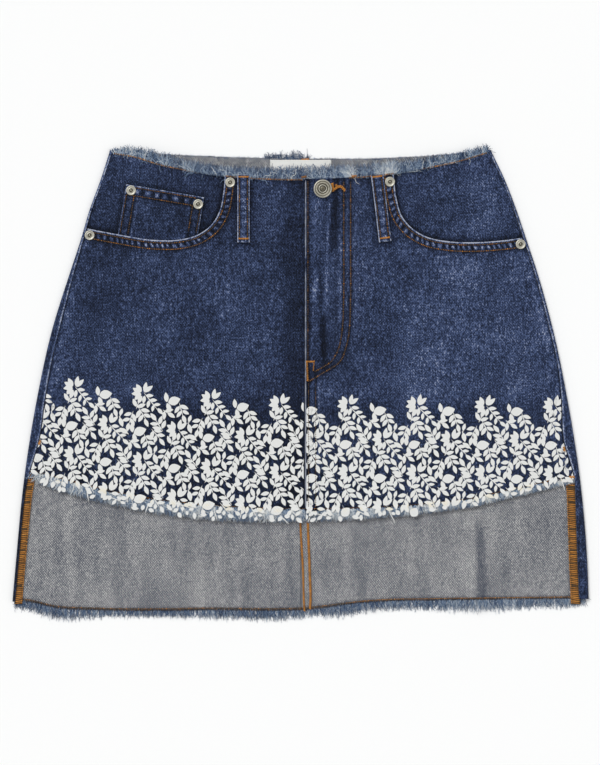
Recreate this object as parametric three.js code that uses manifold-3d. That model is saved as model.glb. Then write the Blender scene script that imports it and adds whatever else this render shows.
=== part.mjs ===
// Denim skirt laid flat on a surface, front panels up, with raw frayed waist and hems.
// Millimetres. The back panels rest on Z = 0, +Y runs from hem to waist, +Z points up.
// Left and right are the sides as seen from above, so left is -X.
import * as THREE from 'three';
import { mergeVertices } from 'three/addons/utils/BufferGeometryUtils.js';
import Module from 'manifold-3d';

const wasm = await Module();
wasm.setup();

// Driving sizes
const CLOTH = 1.2; // wall of the denim
const PLY_GAP = 0.3; // air between neighbouring pieces
const FOLD_RADIUS = 2.1; // outside of the fold at each side
const SHEET_TOP = 2 * FOLD_RADIUS; // top of the back cloth where it turns over to the front
const CENTRE_FRONT = 2.8; // X of the lap edge of the fly
const CENTRE_BACK = -0.6; // X of the centre back seam
const CROWN = 1.6; // how far the front panels stand above the side seams
const CROWN_REACH = 70; // distance from a side seam over which they rise
const FLY_LAP = 2.5; // the left front carries on under the lap by this much
const FLY_RISE = CLOTH + PLY_GAP; // the lap lies one cloth higher
const FLY_WIDTH = 41.7; // lap edge to the outer J stitch
const FLY_BEND = 47; // Y where the J stitch starts to turn in
const FLY_FOOT = -0.5; // Y of the bottom of the J
const CENTRE_SEAM_WIDTH = 12.5; // felled seam below the fly
const ZIP = { from: 19, to: 27, low: 34, high: 150, thick: 1.2 }; // from the lap edge, and in Y
const ZIP_RIDGE = { from: 18.7, to: 27.3, side: 1.7, low: 18, high: 158, end: 10 };
const SHIELD = { to: 31.7, low: 30 };
const BACK_SEAM = { width: 8, side: 1.5, rise: 0.8, top: 170, fade: 12 }; // felled, raised inside
const COIN = { x: -161.5, y: 180.8, turn: -9.6, width: 72.5, length: 51.5, short: 10.5, thick: 1.0 };
const COIN_STEP = COIN.thick + PLY_GAP;
const COIN_WINDOW = { from: -196, full: -184, until: -84, to: -70, low: 100, high: 114 };
const FACING_NEAR = 15; // the pocket facing lies one cloth lower out to here from the pocket edge
const FACING_FAR = 45; // and is level with the front from here on
const FACING = { left: { inner: -58, low: 114 }, right: { inner: 71.6, low: 112.5 } };
const LOOP = { width: 11.5, length: 61.5, thick: 1.6, arch: 0.6 };
const LABEL = { left: -29.3, right: 27, top: 203.6, height: 30, thick: 0.6 };
const OVERLOCK = { width: { left: 7, right: 8.6 }, thick: 1.2, top: -80, bottom: -205.5 };
const FRINGE = { thick: 0.9, backing: 1.1, root: 0.72 }; // root is the share of a pitch one lock takes
const BUTTON_RADIUS = 8.5;
const RIVET_RADIUS = 4.6;

// Side fold of the laid garment, by height
const SIDE_FOLD = [
  { y: -205, left: -266.9, right: 264.2 },
  { y: -164.7, left: -263.4, right: 262.7 },
  { y: -91.1, left: -256.1, right: 256.2 },
  { y: -17.5, left: -244.4, right: 244.6 },
  { y: 46.9, left: -230.3, right: 231.3 },
  { y: 102.1, left: -213, right: 216.1 },
  { y: 130, left: -203.8, right: 206.8 },
  { y: 157.3, left: -195.8, right: 197.6 },
  { y: 184.9, left: -185.7, right: 187 },
  { y: 212.5, left: -176.8, right: 173.9 },
];

// Width of back cloth that lies on the front between the fold and the side seam
const SIDE_WRAP = [
  { y: -205, left: 2.5, right: 8.8 },
  { y: -165, left: 2.5, right: 9.1 },
  { y: -131, left: 2.5, right: 7.9 },
  { y: -102, left: 2.6, right: 6.0 },
  { y: -91, left: 3.3, right: 5.2 },
  { y: -52, left: 8.5, right: 9.8 },
  { y: -17, left: 7.4, right: 5.4 },
  { y: 20, left: 6.6, right: 2.8 },
  { y: 47, left: 6.6, right: 3.0 },
  { y: 92, left: 4.2, right: 2.8 },
  { y: 130, left: 2.5, right: 2.5 },
  { y: 213, left: 2.5, right: 2.5 },
];

// Cloth edges, without their fray
const FRONT_WAIST = [
  { x: -178, y: 210.7 },
  { x: -152.7, y: 206.2 },
  { x: -132.5, y: 199.8 },
  { x: -105.8, y: 194.1 },
  { x: -51.5, y: 187.2 },
  { x: 2.8, y: 185.6 },
  { x: 62.6, y: 188.6 },
  { x: 110.4, y: 195.5 },
  { x: 142.6, y: 202.2 },
  { x: 173.9, y: 211.6 },
];
const BACK_WAIST = [
  { x: -177.6, y: 212.5 },
  { x: -105.8, y: 207.9 },
  { x: 0, y: 205 },
  { x: 72, y: 205.2 },
  { x: 120.5, y: 207.9 },
  { x: 174, y: 213 },
];
const FRONT_HEM = [
  { x: -249.3, y: -83.7 },
  { x: -192, y: -98.9 },
  { x: -147, y: -108.4 },
  { x: -57, y: -117.6 },
  { x: 1, y: -119.1 },
  { x: 121, y: -113.8 },
  { x: 156.4, y: -109.5 },
  { x: 191.4, y: -101.4 },
  { x: 252, y: -88.8 },
];
const BACK_HEM = [
  { x: -266.8, y: -203 },
  { x: -255.8, y: -203.2 },
  { x: -228, y: -209.3 },
  { x: -189.5, y: -211.4 },
  { x: -80, y: -211.4 },
  { x: 1, y: -211.1 },
  { x: 68, y: -203.6 },
  { x: 121, y: -202.4 },
  { x: 266, y: -200.6 },
];

// Edge of each front pocket, from the waist round to the side seam
const POCKET_MOUTH = {
  left: [
    { x: -70.8, y: 190 },
    { x: -72.4, y: 172.7 },
    { x: -75.8, y: 156.4 },
    { x: -82.5, y: 144.4 },
    { x: -94.8, y: 134.9 },
    { x: -112.2, y: 129.9 },
    { x: -132.5, y: 129.4 },
    { x: -173, y: 135.5 },
    { x: -204, y: 141.6 },
  ],
  right: [
    { x: 84.2, y: 192 },
    { x: 87.2, y: 166.2 },
    { x: 92, y: 151.4 },
    { x: 102, y: 139.8 },
    { x: 115, y: 132.5 },
    { x: 134.9, y: 128.4 },
    { x: 159.5, y: 127.6 },
    { x: 184, y: 129.3 },
    { x: 210, y: 132.8 },
  ],
};

// Soft folds of the front panels: middle, half width and half length, turn in degrees, height
const SOFT_FOLDS = [
  { x: -9, y: 60, across: 12, along: 190, turn: 0, height: -0.8 },
  { x: -150, y: -10, across: 42, along: 120, turn: 14, height: 0.9 },
  { x: -66, y: 15, across: 38, along: 110, turn: -6, height: 0.7 },
  { x: 92, y: 10, across: 40, along: 115, turn: 7, height: 0.8 },
  { x: 168, y: -20, across: 42, along: 110, turn: -13, height: 0.9 },
  { x: 0, y: 168, across: 330, along: 60, turn: 0, height: 0.5 },
];

// Soft folds of the back cloth below the front hem
const BACK_FOLDS = [
  { x: 164, y: -185, across: 22, along: 62, turn: 3, height: 1.8 },
  { x: 66, y: -192, across: 20, along: 42, turn: -4, height: 1.0 },
  { x: -120, y: -190, across: 34, along: 55, turn: 5, height: 1.1 },
];
const BACK_FOLD_FADE = { from: -130, to: -150, side: 30 };

// Inset of the overlocked seam allowances from the fold
const OVERLOCK_INSET = [
  { y: -205, left: 1.8, right: 7.6 },
  { y: -165, left: 1.8, right: 7.9 },
  { y: -131, left: 1.9, right: 6.7 },
  { y: -95, left: 2.5, right: 4.6 },
  { y: -80, left: 3.6, right: 4.3 },
];

// Fray length along each raw edge
const FRAY = {
  front_hem: [
    { x: -250, length: 5 },
    { x: -190, length: 9 },
    { x: -90, length: 12 },
    { x: 60, length: 10 },
    { x: 190, length: 9 },
    { x: 252, length: 5.5 },
  ],
  back_hem: [
    { x: -267, length: 4.5 },
    { x: -225, length: 8 },
    { x: -100, length: 8.8 },
    { x: 60, length: 9 },
    { x: 200, length: 8 },
    { x: 266, length: 4 },
  ],
  front_waist: [
    { x: -178, length: 13 },
    { x: -163, length: 8 },
    { x: -106, length: 10.5 },
    { x: -65, length: 8.5 },
    { x: 4, length: 12.5 },
    { x: 86, length: 12.5 },
    { x: 143, length: 8.7 },
    { x: 174, length: 6.5 },
  ],
  back_waist: [
    { x: -178, length: 2.5 },
    { x: -42, length: 2.5 },
    { x: -28, length: 6.5 },
    { x: 2, length: 7.5 },
    { x: 12, length: 2.5 },
    { x: 174, length: 2.5 },
  ],
};

const BELT_LOOPS = [
  { name: 'belt_loop_left', x: -53.7, y: 158, turn: 0 },
  { name: 'belt_loop_right', x: 72.7, y: 158.5, turn: 7 },
];
const TACK_BUTTON = { x: 19, y: 176.2 };
const RIVETS = [
  { name: 'rivet_coin_left', x: -157, y: 175.1, on: 'coin' },
  { name: 'rivet_coin_right', x: -95.4, y: 162.4, on: 'coin' },
  { name: 'rivet_pocket_left_inner', x: -66, y: 182.4, on: 'front' },
  { name: 'rivet_pocket_left_outer', x: -195.2, y: 134, on: 'front' },
  { name: 'rivet_pocket_right_inner', x: 80.8, y: 183, on: 'front' },
  { name: 'rivet_pocket_right_outer', x: 201, y: 125.8, on: 'front' },
];

const SIGN = { left: -1, right: 1 };

function mix(from, to, share) {
  return from + (to - from) * share;
}

/** 0 before from, 1 after to, and a smooth cubic between them. */
function smooth(from, to, value) {
  const share = Math.min(Math.max((value - from) / (to - from), 0), 1);
  return share * share * (3 - 2 * share);
}

/** Smooth line through knots: cubic pieces, with the slope of a parabola at each knot. */
function spline(xs, ys) {
  const last = xs.length - 1;
  const chord = (i) => (ys[i + 1] - ys[i]) / (xs[i + 1] - xs[i]);
  const slopes = xs.map((x, i) => {
    if (i === 0) return chord(0);
    if (i === last) return chord(last - 1);
    const before = x - xs[i - 1];
    const after = xs[i + 1] - x;
    return (chord(i - 1) * after + chord(i) * before) / (before + after);
  });
  return (at) => {
    const x = Math.min(Math.max(at, xs[0]), xs[last]);
    let i = 0;
    while (i < last - 1 && x > xs[i + 1]) i += 1;
    const span = xs[i + 1] - xs[i];
    const t = (x - xs[i]) / span;
    return (ys[i] * (1 + 2 * t) + slopes[i] * span * t) * (1 - t) ** 2
      + (ys[i + 1] * (3 - 2 * t) + slopes[i + 1] * span * (t - 1)) * t ** 2;
  };
}

function column(rows, at, of) {
  return spline(rows.map((row) => row[at]), rows.map((row) => row[of]));
}

function bothSides(rows) {
  return { left: column(rows, 'y', 'left'), right: column(rows, 'y', 'right') };
}

const foldX = bothSides(SIDE_FOLD);
const wrapWidth = bothSides(SIDE_WRAP);
const overlockInset = bothSides(OVERLOCK_INSET);
const frontWaist = column(FRONT_WAIST, 'x', 'y');
const backWaist = column(BACK_WAIST, 'x', 'y');
const frontHem = column(FRONT_HEM, 'x', 'y');
const backHem = column(BACK_HEM, 'x', 'y');

/** X of the side seam, where the back cloth that wraps over the fold ends. */
function seamX(side, y) {
  return foldX[side](y) - SIGN[side] * wrapWidth[side](y);
}

/** Height of a list of soft folds: each is a cosine bell, longer than it is wide. */
function foldHeight(folds, x, y) {
  let height = 0;
  for (const fold of folds) {
    const turn = THREE.MathUtils.degToRad(fold.turn);
    const across = (x - fold.x) * Math.cos(turn) + (y - fold.y) * Math.sin(turn);
    const along = (y - fold.y) * Math.cos(turn) - (x - fold.x) * Math.sin(turn);
    const reach = Math.hypot(across / fold.across, along / fold.along);
    if (reach < 1) height += fold.height * (0.5 + 0.5 * Math.cos(Math.PI * reach));
  }
  return height;
}

/** Top of the plain front cloth. Everything on the front is measured from this surface. */
function frontTop(x, y) {
  const side = x < 0 ? 'left' : 'right';
  const inward = SIGN[side] * (seamX(side, y) - x);
  return SHEET_TOP + smooth(0, CROWN_REACH, inward) * (CROWN + foldHeight(SOFT_FOLDS, x, y));
}

/** Inner face of the back cloth, with the soft folds that show below the front hem. */
function backLift(x, y) {
  const side = x < 0 ? 'left' : 'right';
  const inward = SIGN[side] * (foldX[side](y) - x) - FOLD_RADIUS;
  const shown = smooth(BACK_FOLD_FADE.from, BACK_FOLD_FADE.to, y);
  return shown * smooth(0, BACK_FOLD_FADE.side, inward) * foldHeight(BACK_FOLDS, x, y);
}

/** Width of the stitched fly lap: straight, then a quarter ellipse, then the plain seam. */
function flyWidth(y) {
  const drop = Math.max(FLY_BEND - y, 0) / (FLY_BEND - FLY_FOOT);
  const curved = FLY_WIDTH * Math.sqrt(Math.max(1 - drop * drop, 0));
  return Math.max(curved, CENTRE_SEAM_WIDTH);
}

/** How far the right front stands above the plain front: the lap, and the ridge over the zip. */
function flyRise(x, y) {
  const across = x - CENTRE_FRONT;
  const width = flyWidth(y);
  const lap = FLY_RISE * (1 - smooth(width - 2, width + 5, across));
  const { from, to, side, low, high, end } = ZIP_RIDGE;
  const over = smooth(from - side, from, across) * (1 - smooth(to, to + side, across));
  const span = smooth(low - end, low, y) * (1 - smooth(high, high + end, y));
  return lap + FLY_RISE * over * span;
}

const mouthPoints = {};
for (const side of ['left', 'right']) {
  const rows = POCKET_MOUTH[side];
  const along = [0];
  for (let i = 1; i < rows.length; i += 1) {
    along.push(along[i - 1] + Math.hypot(rows[i].x - rows[i - 1].x, rows[i].y - rows[i - 1].y));
  }
  const xAt = spline(along, rows.map((row) => row.x));
  const yAt = spline(along, rows.map((row) => row.y));
  const count = 36;
  mouthPoints[side] = Array.from({ length: count + 1 }, (_, i) => {
    const at = (along[along.length - 1] * i) / count;
    return { x: xAt(at), y: yAt(at) };
  });
}

/** Outline of all that lies beyond a pocket edge, used to cut the front and to find the facing. */
function mouthOutline(side) {
  const points = mouthPoints[side];
  const far = SIGN[side] * 300;
  const high = 300;
  return [...points, { x: far, y: points[points.length - 1].y }, { x: far, y: high }, { x: points[0].x, y: high }];
}

/** Distance into the pocket opening from its edge, and 0 under the front cloth. */
function mouthDepth(side, x, y) {
  const outline = mouthOutline(side);
  let inside = false;
  for (let i = 0, j = outline.length - 1; i < outline.length; j = i, i += 1) {
    const a = outline[i];
    const b = outline[j];
    if (a.y > y !== b.y > y && x < ((b.x - a.x) * (y - a.y)) / (b.y - a.y) + a.x) inside = !inside;
  }
  if (!inside) return 0;
  return Math.min(...mouthPoints[side].map((point) => Math.hypot(point.x - x, point.y - y)));
}

/** Top of a pocket facing: one cloth under the front at the pocket edge, level further in. */
function facingTop(side, x, y) {
  const sunk = 1 - smooth(FACING_NEAR, FACING_FAR, mouthDepth(side, x, y));
  return frontTop(x, y) - (CLOTH + PLY_GAP) * sunk;
}

/** The left front lifts where the coin pocket is tucked under it. */
function coinLift(x, y) {
  const across = smooth(COIN_WINDOW.from, COIN_WINDOW.full, x)
    * (1 - smooth(COIN_WINDOW.until, COIN_WINDOW.to, x));
  return COIN_STEP * across * smooth(COIN_WINDOW.low, COIN_WINDOW.high, y);
}

function leftFrontTop(x, y) {
  return frontTop(x, y) + coinLift(x, y);
}

function rightFrontTop(x, y) {
  return frontTop(x, y) + flyRise(x, y);
}

function coinTop(x, y) {
  return facingTop('left', x, y) + COIN_STEP;
}

/** Triangles of a net of points in columns of equal length. */
function net(columns, rows) {
  const faces = [];
  for (let i = 0; i < columns - 1; i += 1) {
    for (let j = 0; j < rows - 1; j += 1) {
      const a = i * rows + j;
      faces.push([a, a + rows, a + rows + 1], [a, a + rows + 1, a + 1]);
    }
  }
  return faces;
}

/** Closed wall between two skins that share one net of triangles. */
function shell(outer, inner, faces) {
  const count = outer.length;
  const triangles = [];
  const used = new Set();
  for (const [a, b, c] of faces) {
    triangles.push([a, b, c], [a + count, c + count, b + count]);
    used.add(`${a}_${b}`).add(`${b}_${c}`).add(`${c}_${a}`);
  }
  for (const edge of used) {
    const [a, b] = edge.split('_').map(Number);
    if (!used.has(`${b}_${a}`)) triangles.push([b, a, a + count], [b, a + count, b + count]);
  }
  const points = [...outer, ...inner];
  let volume = 0;
  for (const [a, b, c] of triangles) {
    volume += new THREE.Vector3(...points[a])
      .dot(new THREE.Vector3(...points[b]).cross(new THREE.Vector3(...points[c])));
  }
  if (volume < 0) for (const triangle of triangles) triangle.reverse();
  const geometry = new THREE.BufferGeometry();
  geometry.setAttribute('position', new THREE.Float32BufferAttribute(points.flat(), 3));
  geometry.setIndex(triangles.flat());
  geometry.computeVertexNormals();
  return geometry;
}

/** Cloth of even thickness under a height function, over points given in plan. */
function cloth(plan, faces, top, thick = CLOTH) {
  const outer = plan.map(([x, y]) => [x, y, top(x, y)]);
  const inner = outer.map(([x, y, z]) => [x, y, z - thick]);
  return shell(outer, inner, faces);
}

/** Four-sided patch in plan: place(s, t) gives the point at two shares of the patch. */
function patch(columns, rows, place) {
  const plan = [];
  for (let i = 0; i < columns; i += 1) {
    for (let j = 0; j < rows; j += 1) plan.push(place(i / (columns - 1), j / (rows - 1)));
  }
  return plan;
}

/** Shares of the way from the last fixed offset to the side, with even steps. */
function evenShares(count) {
  return Array.from({ length: count }, (_, i) => (i + 1) / count);
}

/** Plan of a panel half: columns at fixed offsets from its centre line, then even to the side. */
function panelPlan({ side, centre, offsets, shares, rows, hem, waist, sideX, sideHem, sideWaist }) {
  const sign = SIGN[side];
  const last = centre + sign * offsets[offsets.length - 1];
  const places = [
    ...offsets.map((offset) => () => centre + sign * offset),
    ...evenShares(shares).map((share) => (v) => mix(last, sideX(mix(sideHem, sideWaist, v)), share)),
  ];
  const plan = [];
  for (const place of places) {
    const low = hem(place(0));
    const high = waist(place(1));
    for (let j = 0; j < rows; j += 1) {
      const v = j / (rows - 1);
      plan.push([place(v), mix(low, high, v)]);
    }
  }
  return { plan, rows, faces: net(places.length, rows) };
}

/** Flat part of a back half, from the centre back seam to the start of the side fold. */
function backPlan(side) {
  const sign = SIGN[side];
  return panelPlan({
    side,
    centre: CENTRE_BACK + (sign * PLY_GAP) / 2,
    offsets: [0, BACK_SEAM.width, BACK_SEAM.width + BACK_SEAM.side, 30],
    shares: 8,
    rows: 19,
    hem: backHem,
    waist: backWaist,
    sideX: (y) => foldX[side](y) - sign * FOLD_RADIUS,
    sideHem: backHem(foldX[side](-203)),
    sideWaist: backWaist(foldX[side](212.5)),
  });
}

/** Half of the back: flat on the surface, round the side fold, and a strip over the front. */
function backPanel(side) {
  const sign = SIGN[side];
  const { plan, rows } = backPlan(side);
  const sideRows = plan.slice(-rows).map(([, y]) => y);
  const outer = [];
  const inner = [];
  for (const [x, y] of plan) {
    const lift = backLift(x, y);
    outer.push([x, y, lift]);
    inner.push([x, y, lift + CLOTH + backSeamRise(x, y)]);
  }
  const turns = [-60, -30, 0, 30, 60, 90];
  for (const turn of turns) {
    const angle = THREE.MathUtils.degToRad(turn);
    for (const y of sideRows) {
      const x = foldX[side](y) - sign * FOLD_RADIUS;
      const at = (radius) => [x + sign * radius * Math.cos(angle), y, FOLD_RADIUS + radius * Math.sin(angle)];
      outer.push(at(FOLD_RADIUS));
      inner.push(at(FOLD_RADIUS - CLOTH));
    }
  }
  for (const y of sideRows) {
    outer.push([seamX(side, y), y, SHEET_TOP]);
    inner.push([seamX(side, y), y, SHEET_TOP - CLOTH]);
  }
  return shell(outer, inner, net(outer.length / rows, rows));
}

/** Felled centre back seam, raised on the inside of the right half. */
function backSeamRise(x, y) {
  const across = x - CENTRE_BACK;
  if (across < 0) return 0;
  const { width, side, rise, top, fade } = BACK_SEAM;
  return rise * (1 - smooth(width, width + side, across)) * (1 - smooth(top - fade, top, y));
}

/** Columns of each front half: the right one is denser over the fly. */
const FRONT_COLUMNS = {
  left: { centre: CENTRE_FRONT + FLY_LAP, offsets: [0, 2.5, 8, 16, 28, 40], shares: 15 },
  right: {
    centre: CENTRE_FRONT,
    offsets: [0, 6, 12, 17, 18.7, 27.3, 29, 34, 39, 43, 48, 60],
    shares: 11,
  },
};

function frontPlan(side) {
  return panelPlan({
    side,
    ...FRONT_COLUMNS[side],
    rows: 22,
    hem: frontHem,
    waist: frontWaist,
    sideX: (y) => seamX(side, y) - SIGN[side] * PLY_GAP,
    sideHem: side === 'left' ? FRONT_HEM[0].y : FRONT_HEM[FRONT_HEM.length - 1].y,
    sideWaist: side === 'left' ? FRONT_WAIST[0].y : FRONT_WAIST[FRONT_WAIST.length - 1].y,
  });
}

function frontPanel(side, top) {
  const { plan, faces } = frontPlan(side);
  return cut(cloth(plan, faces, top), mouthPrism(side));
}

/** Raw edge that two panel halves share, as a function of X: straight between their own points. */
function rawEdge(planOf, isWaist) {
  const points = ['left', 'right'].flatMap((side) => {
    const { plan, rows } = planOf(side);
    return plan.filter((_, k) => k % rows === (isWaist ? rows - 1 : 0));
  }).sort((a, b) => a[0] - b[0]);
  return (x) => {
    const next = points.findIndex(([at]) => at > x);
    if (next === -1) return points[points.length - 1][1];
    if (next === 0) return points[0][1];
    const [[x0, y0], [x1, y1]] = points.slice(next - 1, next + 1);
    return mix(y0, y1, (x - x0) / (x1 - x0));
  };
}

/** Tall block over a pocket opening, which cuts the front cloth along the pocket edge. */
function mouthPrism(side) {
  const shape = new THREE.Shape(mouthOutline(side).map((point) => new THREE.Vector2(point.x, point.y)));
  return new THREE.ExtrudeGeometry(shape, { depth: 40, bevelEnabled: false, steps: 1 });
}

function solidOf(geometry) {
  const bare = geometry.clone();
  bare.deleteAttribute('normal');
  if (bare.getAttribute('uv')) bare.deleteAttribute('uv');
  const merged = mergeVertices(bare);
  return new wasm.Manifold(new wasm.Mesh({
    numProp: 3,
    vertProperties: new Float32Array(merged.getAttribute('position').array),
    triVerts: new Uint32Array(merged.getIndex().array),
  }));
}

function cut(body, tool) {
  const mesh = solidOf(body).subtract(solidOf(tool)).getMesh();
  const geometry = new THREE.BufferGeometry();
  geometry.setAttribute('position', new THREE.Float32BufferAttribute(mesh.vertProperties, 3));
  geometry.setIndex(Array.from(mesh.triVerts));
  geometry.computeVertexNormals();
  return geometry;
}

/** Facing behind a pocket opening, from under the front out to the waist and the side seam. */
function pocketFacing(side) {
  const { inner, low } = FACING[side];
  const sign = SIGN[side];
  const columns = 14;
  const rows = 11;
  const plan = patch(columns, rows, (s, t) => {
    const high = frontWaist(mix(inner, sign * 175, s));
    const edge = seamX(side, mix(low, high, t)) - sign * PLY_GAP;
    const x = mix(inner, edge, s);
    return [x, mix(low, frontWaist(x), t)];
  });
  return cloth(plan, net(columns, rows), (x, y) => facingTop(side, x, y));
}

/** Coin pocket: a turned rectangle whose lower edge is tucked under the left front. */
function coinPocket() {
  const turn = THREE.MathUtils.degToRad(COIN.turn);
  const columns = 9;
  const rows = 6;
  const plan = patch(columns, rows, (s, t) => {
    const along = COIN.width * s;
    const down = t * (COIN.length - COIN.short * s ** 3);
    return [
      COIN.x + along * Math.cos(turn) + down * Math.sin(turn),
      COIN.y + along * Math.sin(turn) - down * Math.cos(turn),
    ];
  });
  return cloth(plan, net(columns, rows), coinTop, COIN.thick);
}

/** Under layer of the fly, which the left front's lap butts against. */
function flyShield() {
  const plan = patch(5, 12, (s, t) => {
    const x = CENTRE_FRONT + mix(FLY_LAP + PLY_GAP, SHIELD.to, s);
    return [x, mix(SHIELD.low, frontWaist(x) - 1, t)];
  });
  return cloth(plan, net(5, 12), frontTop);
}

/** Closed zip under the fly, as one plain strip. */
function flyZip() {
  const plan = patch(3, 10, (s, t) => [
    CENTRE_FRONT + mix(ZIP.from, ZIP.to, s),
    mix(ZIP.low, ZIP.high, t),
  ]);
  return cloth(plan, net(3, 10), (x, y) => frontTop(x, y) + PLY_GAP + ZIP.thick, ZIP.thick);
}

/** Belt loop: a strap that lies on the front and arches slightly between its sewn ends. */
function beltLoop({ x: middleX, y: middleY, turn }) {
  const angle = THREE.MathUtils.degToRad(turn);
  const outer = [];
  const columns = 3;
  const rows = 9;
  for (const [s, t] of patch(columns, rows, (u, v) => [u, v])) {
    const across = (s - 0.5) * LOOP.width;
    const along = (t - 0.5) * LOOP.length;
    const x = middleX + across * Math.cos(angle) - along * Math.sin(angle);
    const y = middleY + across * Math.sin(angle) + along * Math.cos(angle);
    const arch = LOOP.arch * Math.sin(Math.PI * t) ** 2;
    outer.push([x, y, frontTop(x, y) + PLY_GAP + LOOP.thick + arch]);
  }
  const inner = outer.map(([x, y, z]) => [x, y, z - LOOP.thick]);
  return shell(outer, inner, net(columns, rows));
}

/** Blank label inside the back waist. */
function waistLabel() {
  const plan = patch(6, 4, (s, t) => [
    mix(LABEL.left, LABEL.right, s),
    mix(LABEL.top - LABEL.height, LABEL.top, t),
  ]);
  const top = (x, y) => CLOTH + backLift(x, y) + PLY_GAP + LABEL.thick;
  return cloth(plan, net(6, 4), top, LABEL.thick);
}

/** Overlocked seam allowance that lies inside the side fold below the front hem. */
function sideOverlock(side) {
  const sign = SIGN[side];
  const plan = patch(3, 9, (s, t) => {
    const y = mix(OVERLOCK.bottom, OVERLOCK.top, t);
    const outside = foldX[side](y) - sign * overlockInset[side](y);
    return [outside - sign * OVERLOCK.width[side] * s, y];
  });
  return cloth(plan, net(3, 9), () => CLOTH + PLY_GAP + OVERLOCK.thick, OVERLOCK.thick);
}

/** Evenly spread value from 0 to 1 for the given lock, without chance. */
function spread(index, step) {
  return (index * step) % 1;
}

/**
 * Fringe of tapered locks on a narrow strip that runs along a raw edge.
 * edge(x) is the cloth edge, away is +1 for a waist and -1 for a hem.
 */
function fringe({ from, to, count, edge, away, length, top }) {
  const inner = [];
  const root = [];
  const tips = [];
  const pitch = (to - from) / count;
  for (let i = 0; i < count; i += 1) {
    const start = from + i * pitch;
    const gap = (pitch * (1 - FRINGE.root)) / 2;
    for (const x of [start + gap, start + pitch - gap]) {
      inner.push([x, edge(x) + away * PLY_GAP]);
      root.push([x, edge(x) + away * (PLY_GAP + FRINGE.backing)]);
    }
    const reach = length(start + pitch / 2) * mix(0.62, 1, spread(i, 0.618));
    const lean = pitch * mix(-0.7, 0.7, spread(i, 0.382));
    const x = start + pitch / 2 + lean;
    tips.push([x, edge(x) + away * Math.max(reach, 2)]);
  }
  const plan = [...inner, ...root, ...tips];
  const first = inner.length;
  const faces = [];
  for (let k = 0; k < inner.length - 1; k += 1) {
    faces.push([k, k + 1, first + k + 1], [k, first + k + 1, first + k]);
  }
  for (let i = 0; i < count; i += 1) {
    faces.push([first + 2 * i, first + 2 * i + 1, 2 * first + i]);
  }
  return cloth(plan, faces, top, FRINGE.thick);
}

/** Highest value of a surface under a disc. */
function highestUnder(top, x, y, radius) {
  const heights = [top(x, y)];
  for (let turn = 0; turn < 360; turn += 30) {
    const angle = THREE.MathUtils.degToRad(turn);
    heights.push(top(x + radius * Math.cos(angle), y + radius * Math.sin(angle)));
  }
  return Math.max(...heights);
}

function turned(profile, segments) {
  const points = profile.map(([radius, height]) => new THREE.Vector2(radius, height));
  return new THREE.LatheGeometry(points, segments).rotateX(Math.PI / 2);
}

/** Tack button: post, dished head with a rolled rim and a raised centre. */
function tackButton() {
  return turned([
    [0, 0],
    [3.4, 0],
    [3.4, 1.4],
    [7.6, 1.7],
    [BUTTON_RADIUS, 2.6],
    [7.9, 3.6],
    [6.6, 3.8],
    [5.4, 3.1],
    [3.2, 3.1],
    [2.6, 3.9],
    [0, 4.1],
  ], 24);
}

/** Rivet cap: flat rim, shallow ring and a centre nipple. */
function rivet() {
  return turned([
    [0, 0],
    [RIVET_RADIUS - 0.3, 0],
    [RIVET_RADIUS, 0.5],
    [RIVET_RADIUS - 0.8, 1.2],
    [2.6, 0.8],
    [1.3, 0.9],
    [0, 1.6],
  ], 14);
}

const finish = {
  denim: { color: 0x2b3a5e, roughness: 0.92, metalness: 0 },
  inside: { color: 0x7f8288, roughness: 0.95, metalness: 0 },
  fray: { color: 0x9fb1c8, roughness: 1, metalness: 0 },
  backFray: { color: 0x5d6f8c, roughness: 1, metalness: 0 },
  overlock: { color: 0x9a6a35, roughness: 0.85, metalness: 0 },
  label: { color: 0xf0f0ec, roughness: 0.8, metalness: 0 },
  metal: { color: 0xb9b5aa, roughness: 0.35, metalness: 1 },
};

const skirt = new THREE.Group();
skirt.name = 'denim_skirt';

function add(name, geometry, look, place = [0, 0, 0]) {
  const mesh = new THREE.Mesh(geometry, new THREE.MeshStandardMaterial(finish[look]));
  mesh.name = name;
  mesh.position.set(...place);
  skirt.add(mesh);
}

for (const side of ['left', 'right']) {
  add(`back_${side}`, backPanel(side), 'inside');
  add(`pocket_facing_${side}`, pocketFacing(side), 'denim');
  add(`side_overlock_${side}`, sideOverlock(side), 'overlock');
}

add('front_left', frontPanel('left', leftFrontTop), 'denim');
add('front_right', frontPanel('right', rightFrontTop), 'denim');
add('coin_pocket', coinPocket(), 'denim');
add('fly_shield', flyShield(), 'denim');
add('fly_zip', flyZip(), 'label');
for (const loop of BELT_LOOPS) add(loop.name, beltLoop(loop), 'denim');
add('waist_label', waistLabel(), 'label');

const frontFringeTop = (x, y) => frontTop(x, y) - 0.15;
const backFringeTop = (x, y) => backLift(x, y) + CLOTH;
add('fringe_front_hem', fringe({
  from: -248,
  to: 249,
  count: 54,
  edge: rawEdge(frontPlan, false),
  away: -1,
  length: column(FRAY.front_hem, 'x', 'length'),
  top: frontFringeTop,
}), 'fray');
add('fringe_back_hem', fringe({
  from: -263.5,
  to: 261,
  count: 60,
  edge: rawEdge(backPlan, false),
  away: -1,
  length: column(FRAY.back_hem, 'x', 'length'),
  top: backFringeTop,
}), 'backFray');
const waistFray = column(FRAY.front_waist, 'x', 'length');
const waistFringe = { edge: rawEdge(frontPlan, true), away: 1, length: waistFray, top: frontFringeTop };
add('fringe_front_waist_left', fringe({ ...waistFringe, from: -175, to: 2.4, count: 22 }), 'fray');
add('fringe_front_waist_right', fringe({ ...waistFringe, from: 3.2, to: 170.5, count: 21 }), 'fray');
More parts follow.
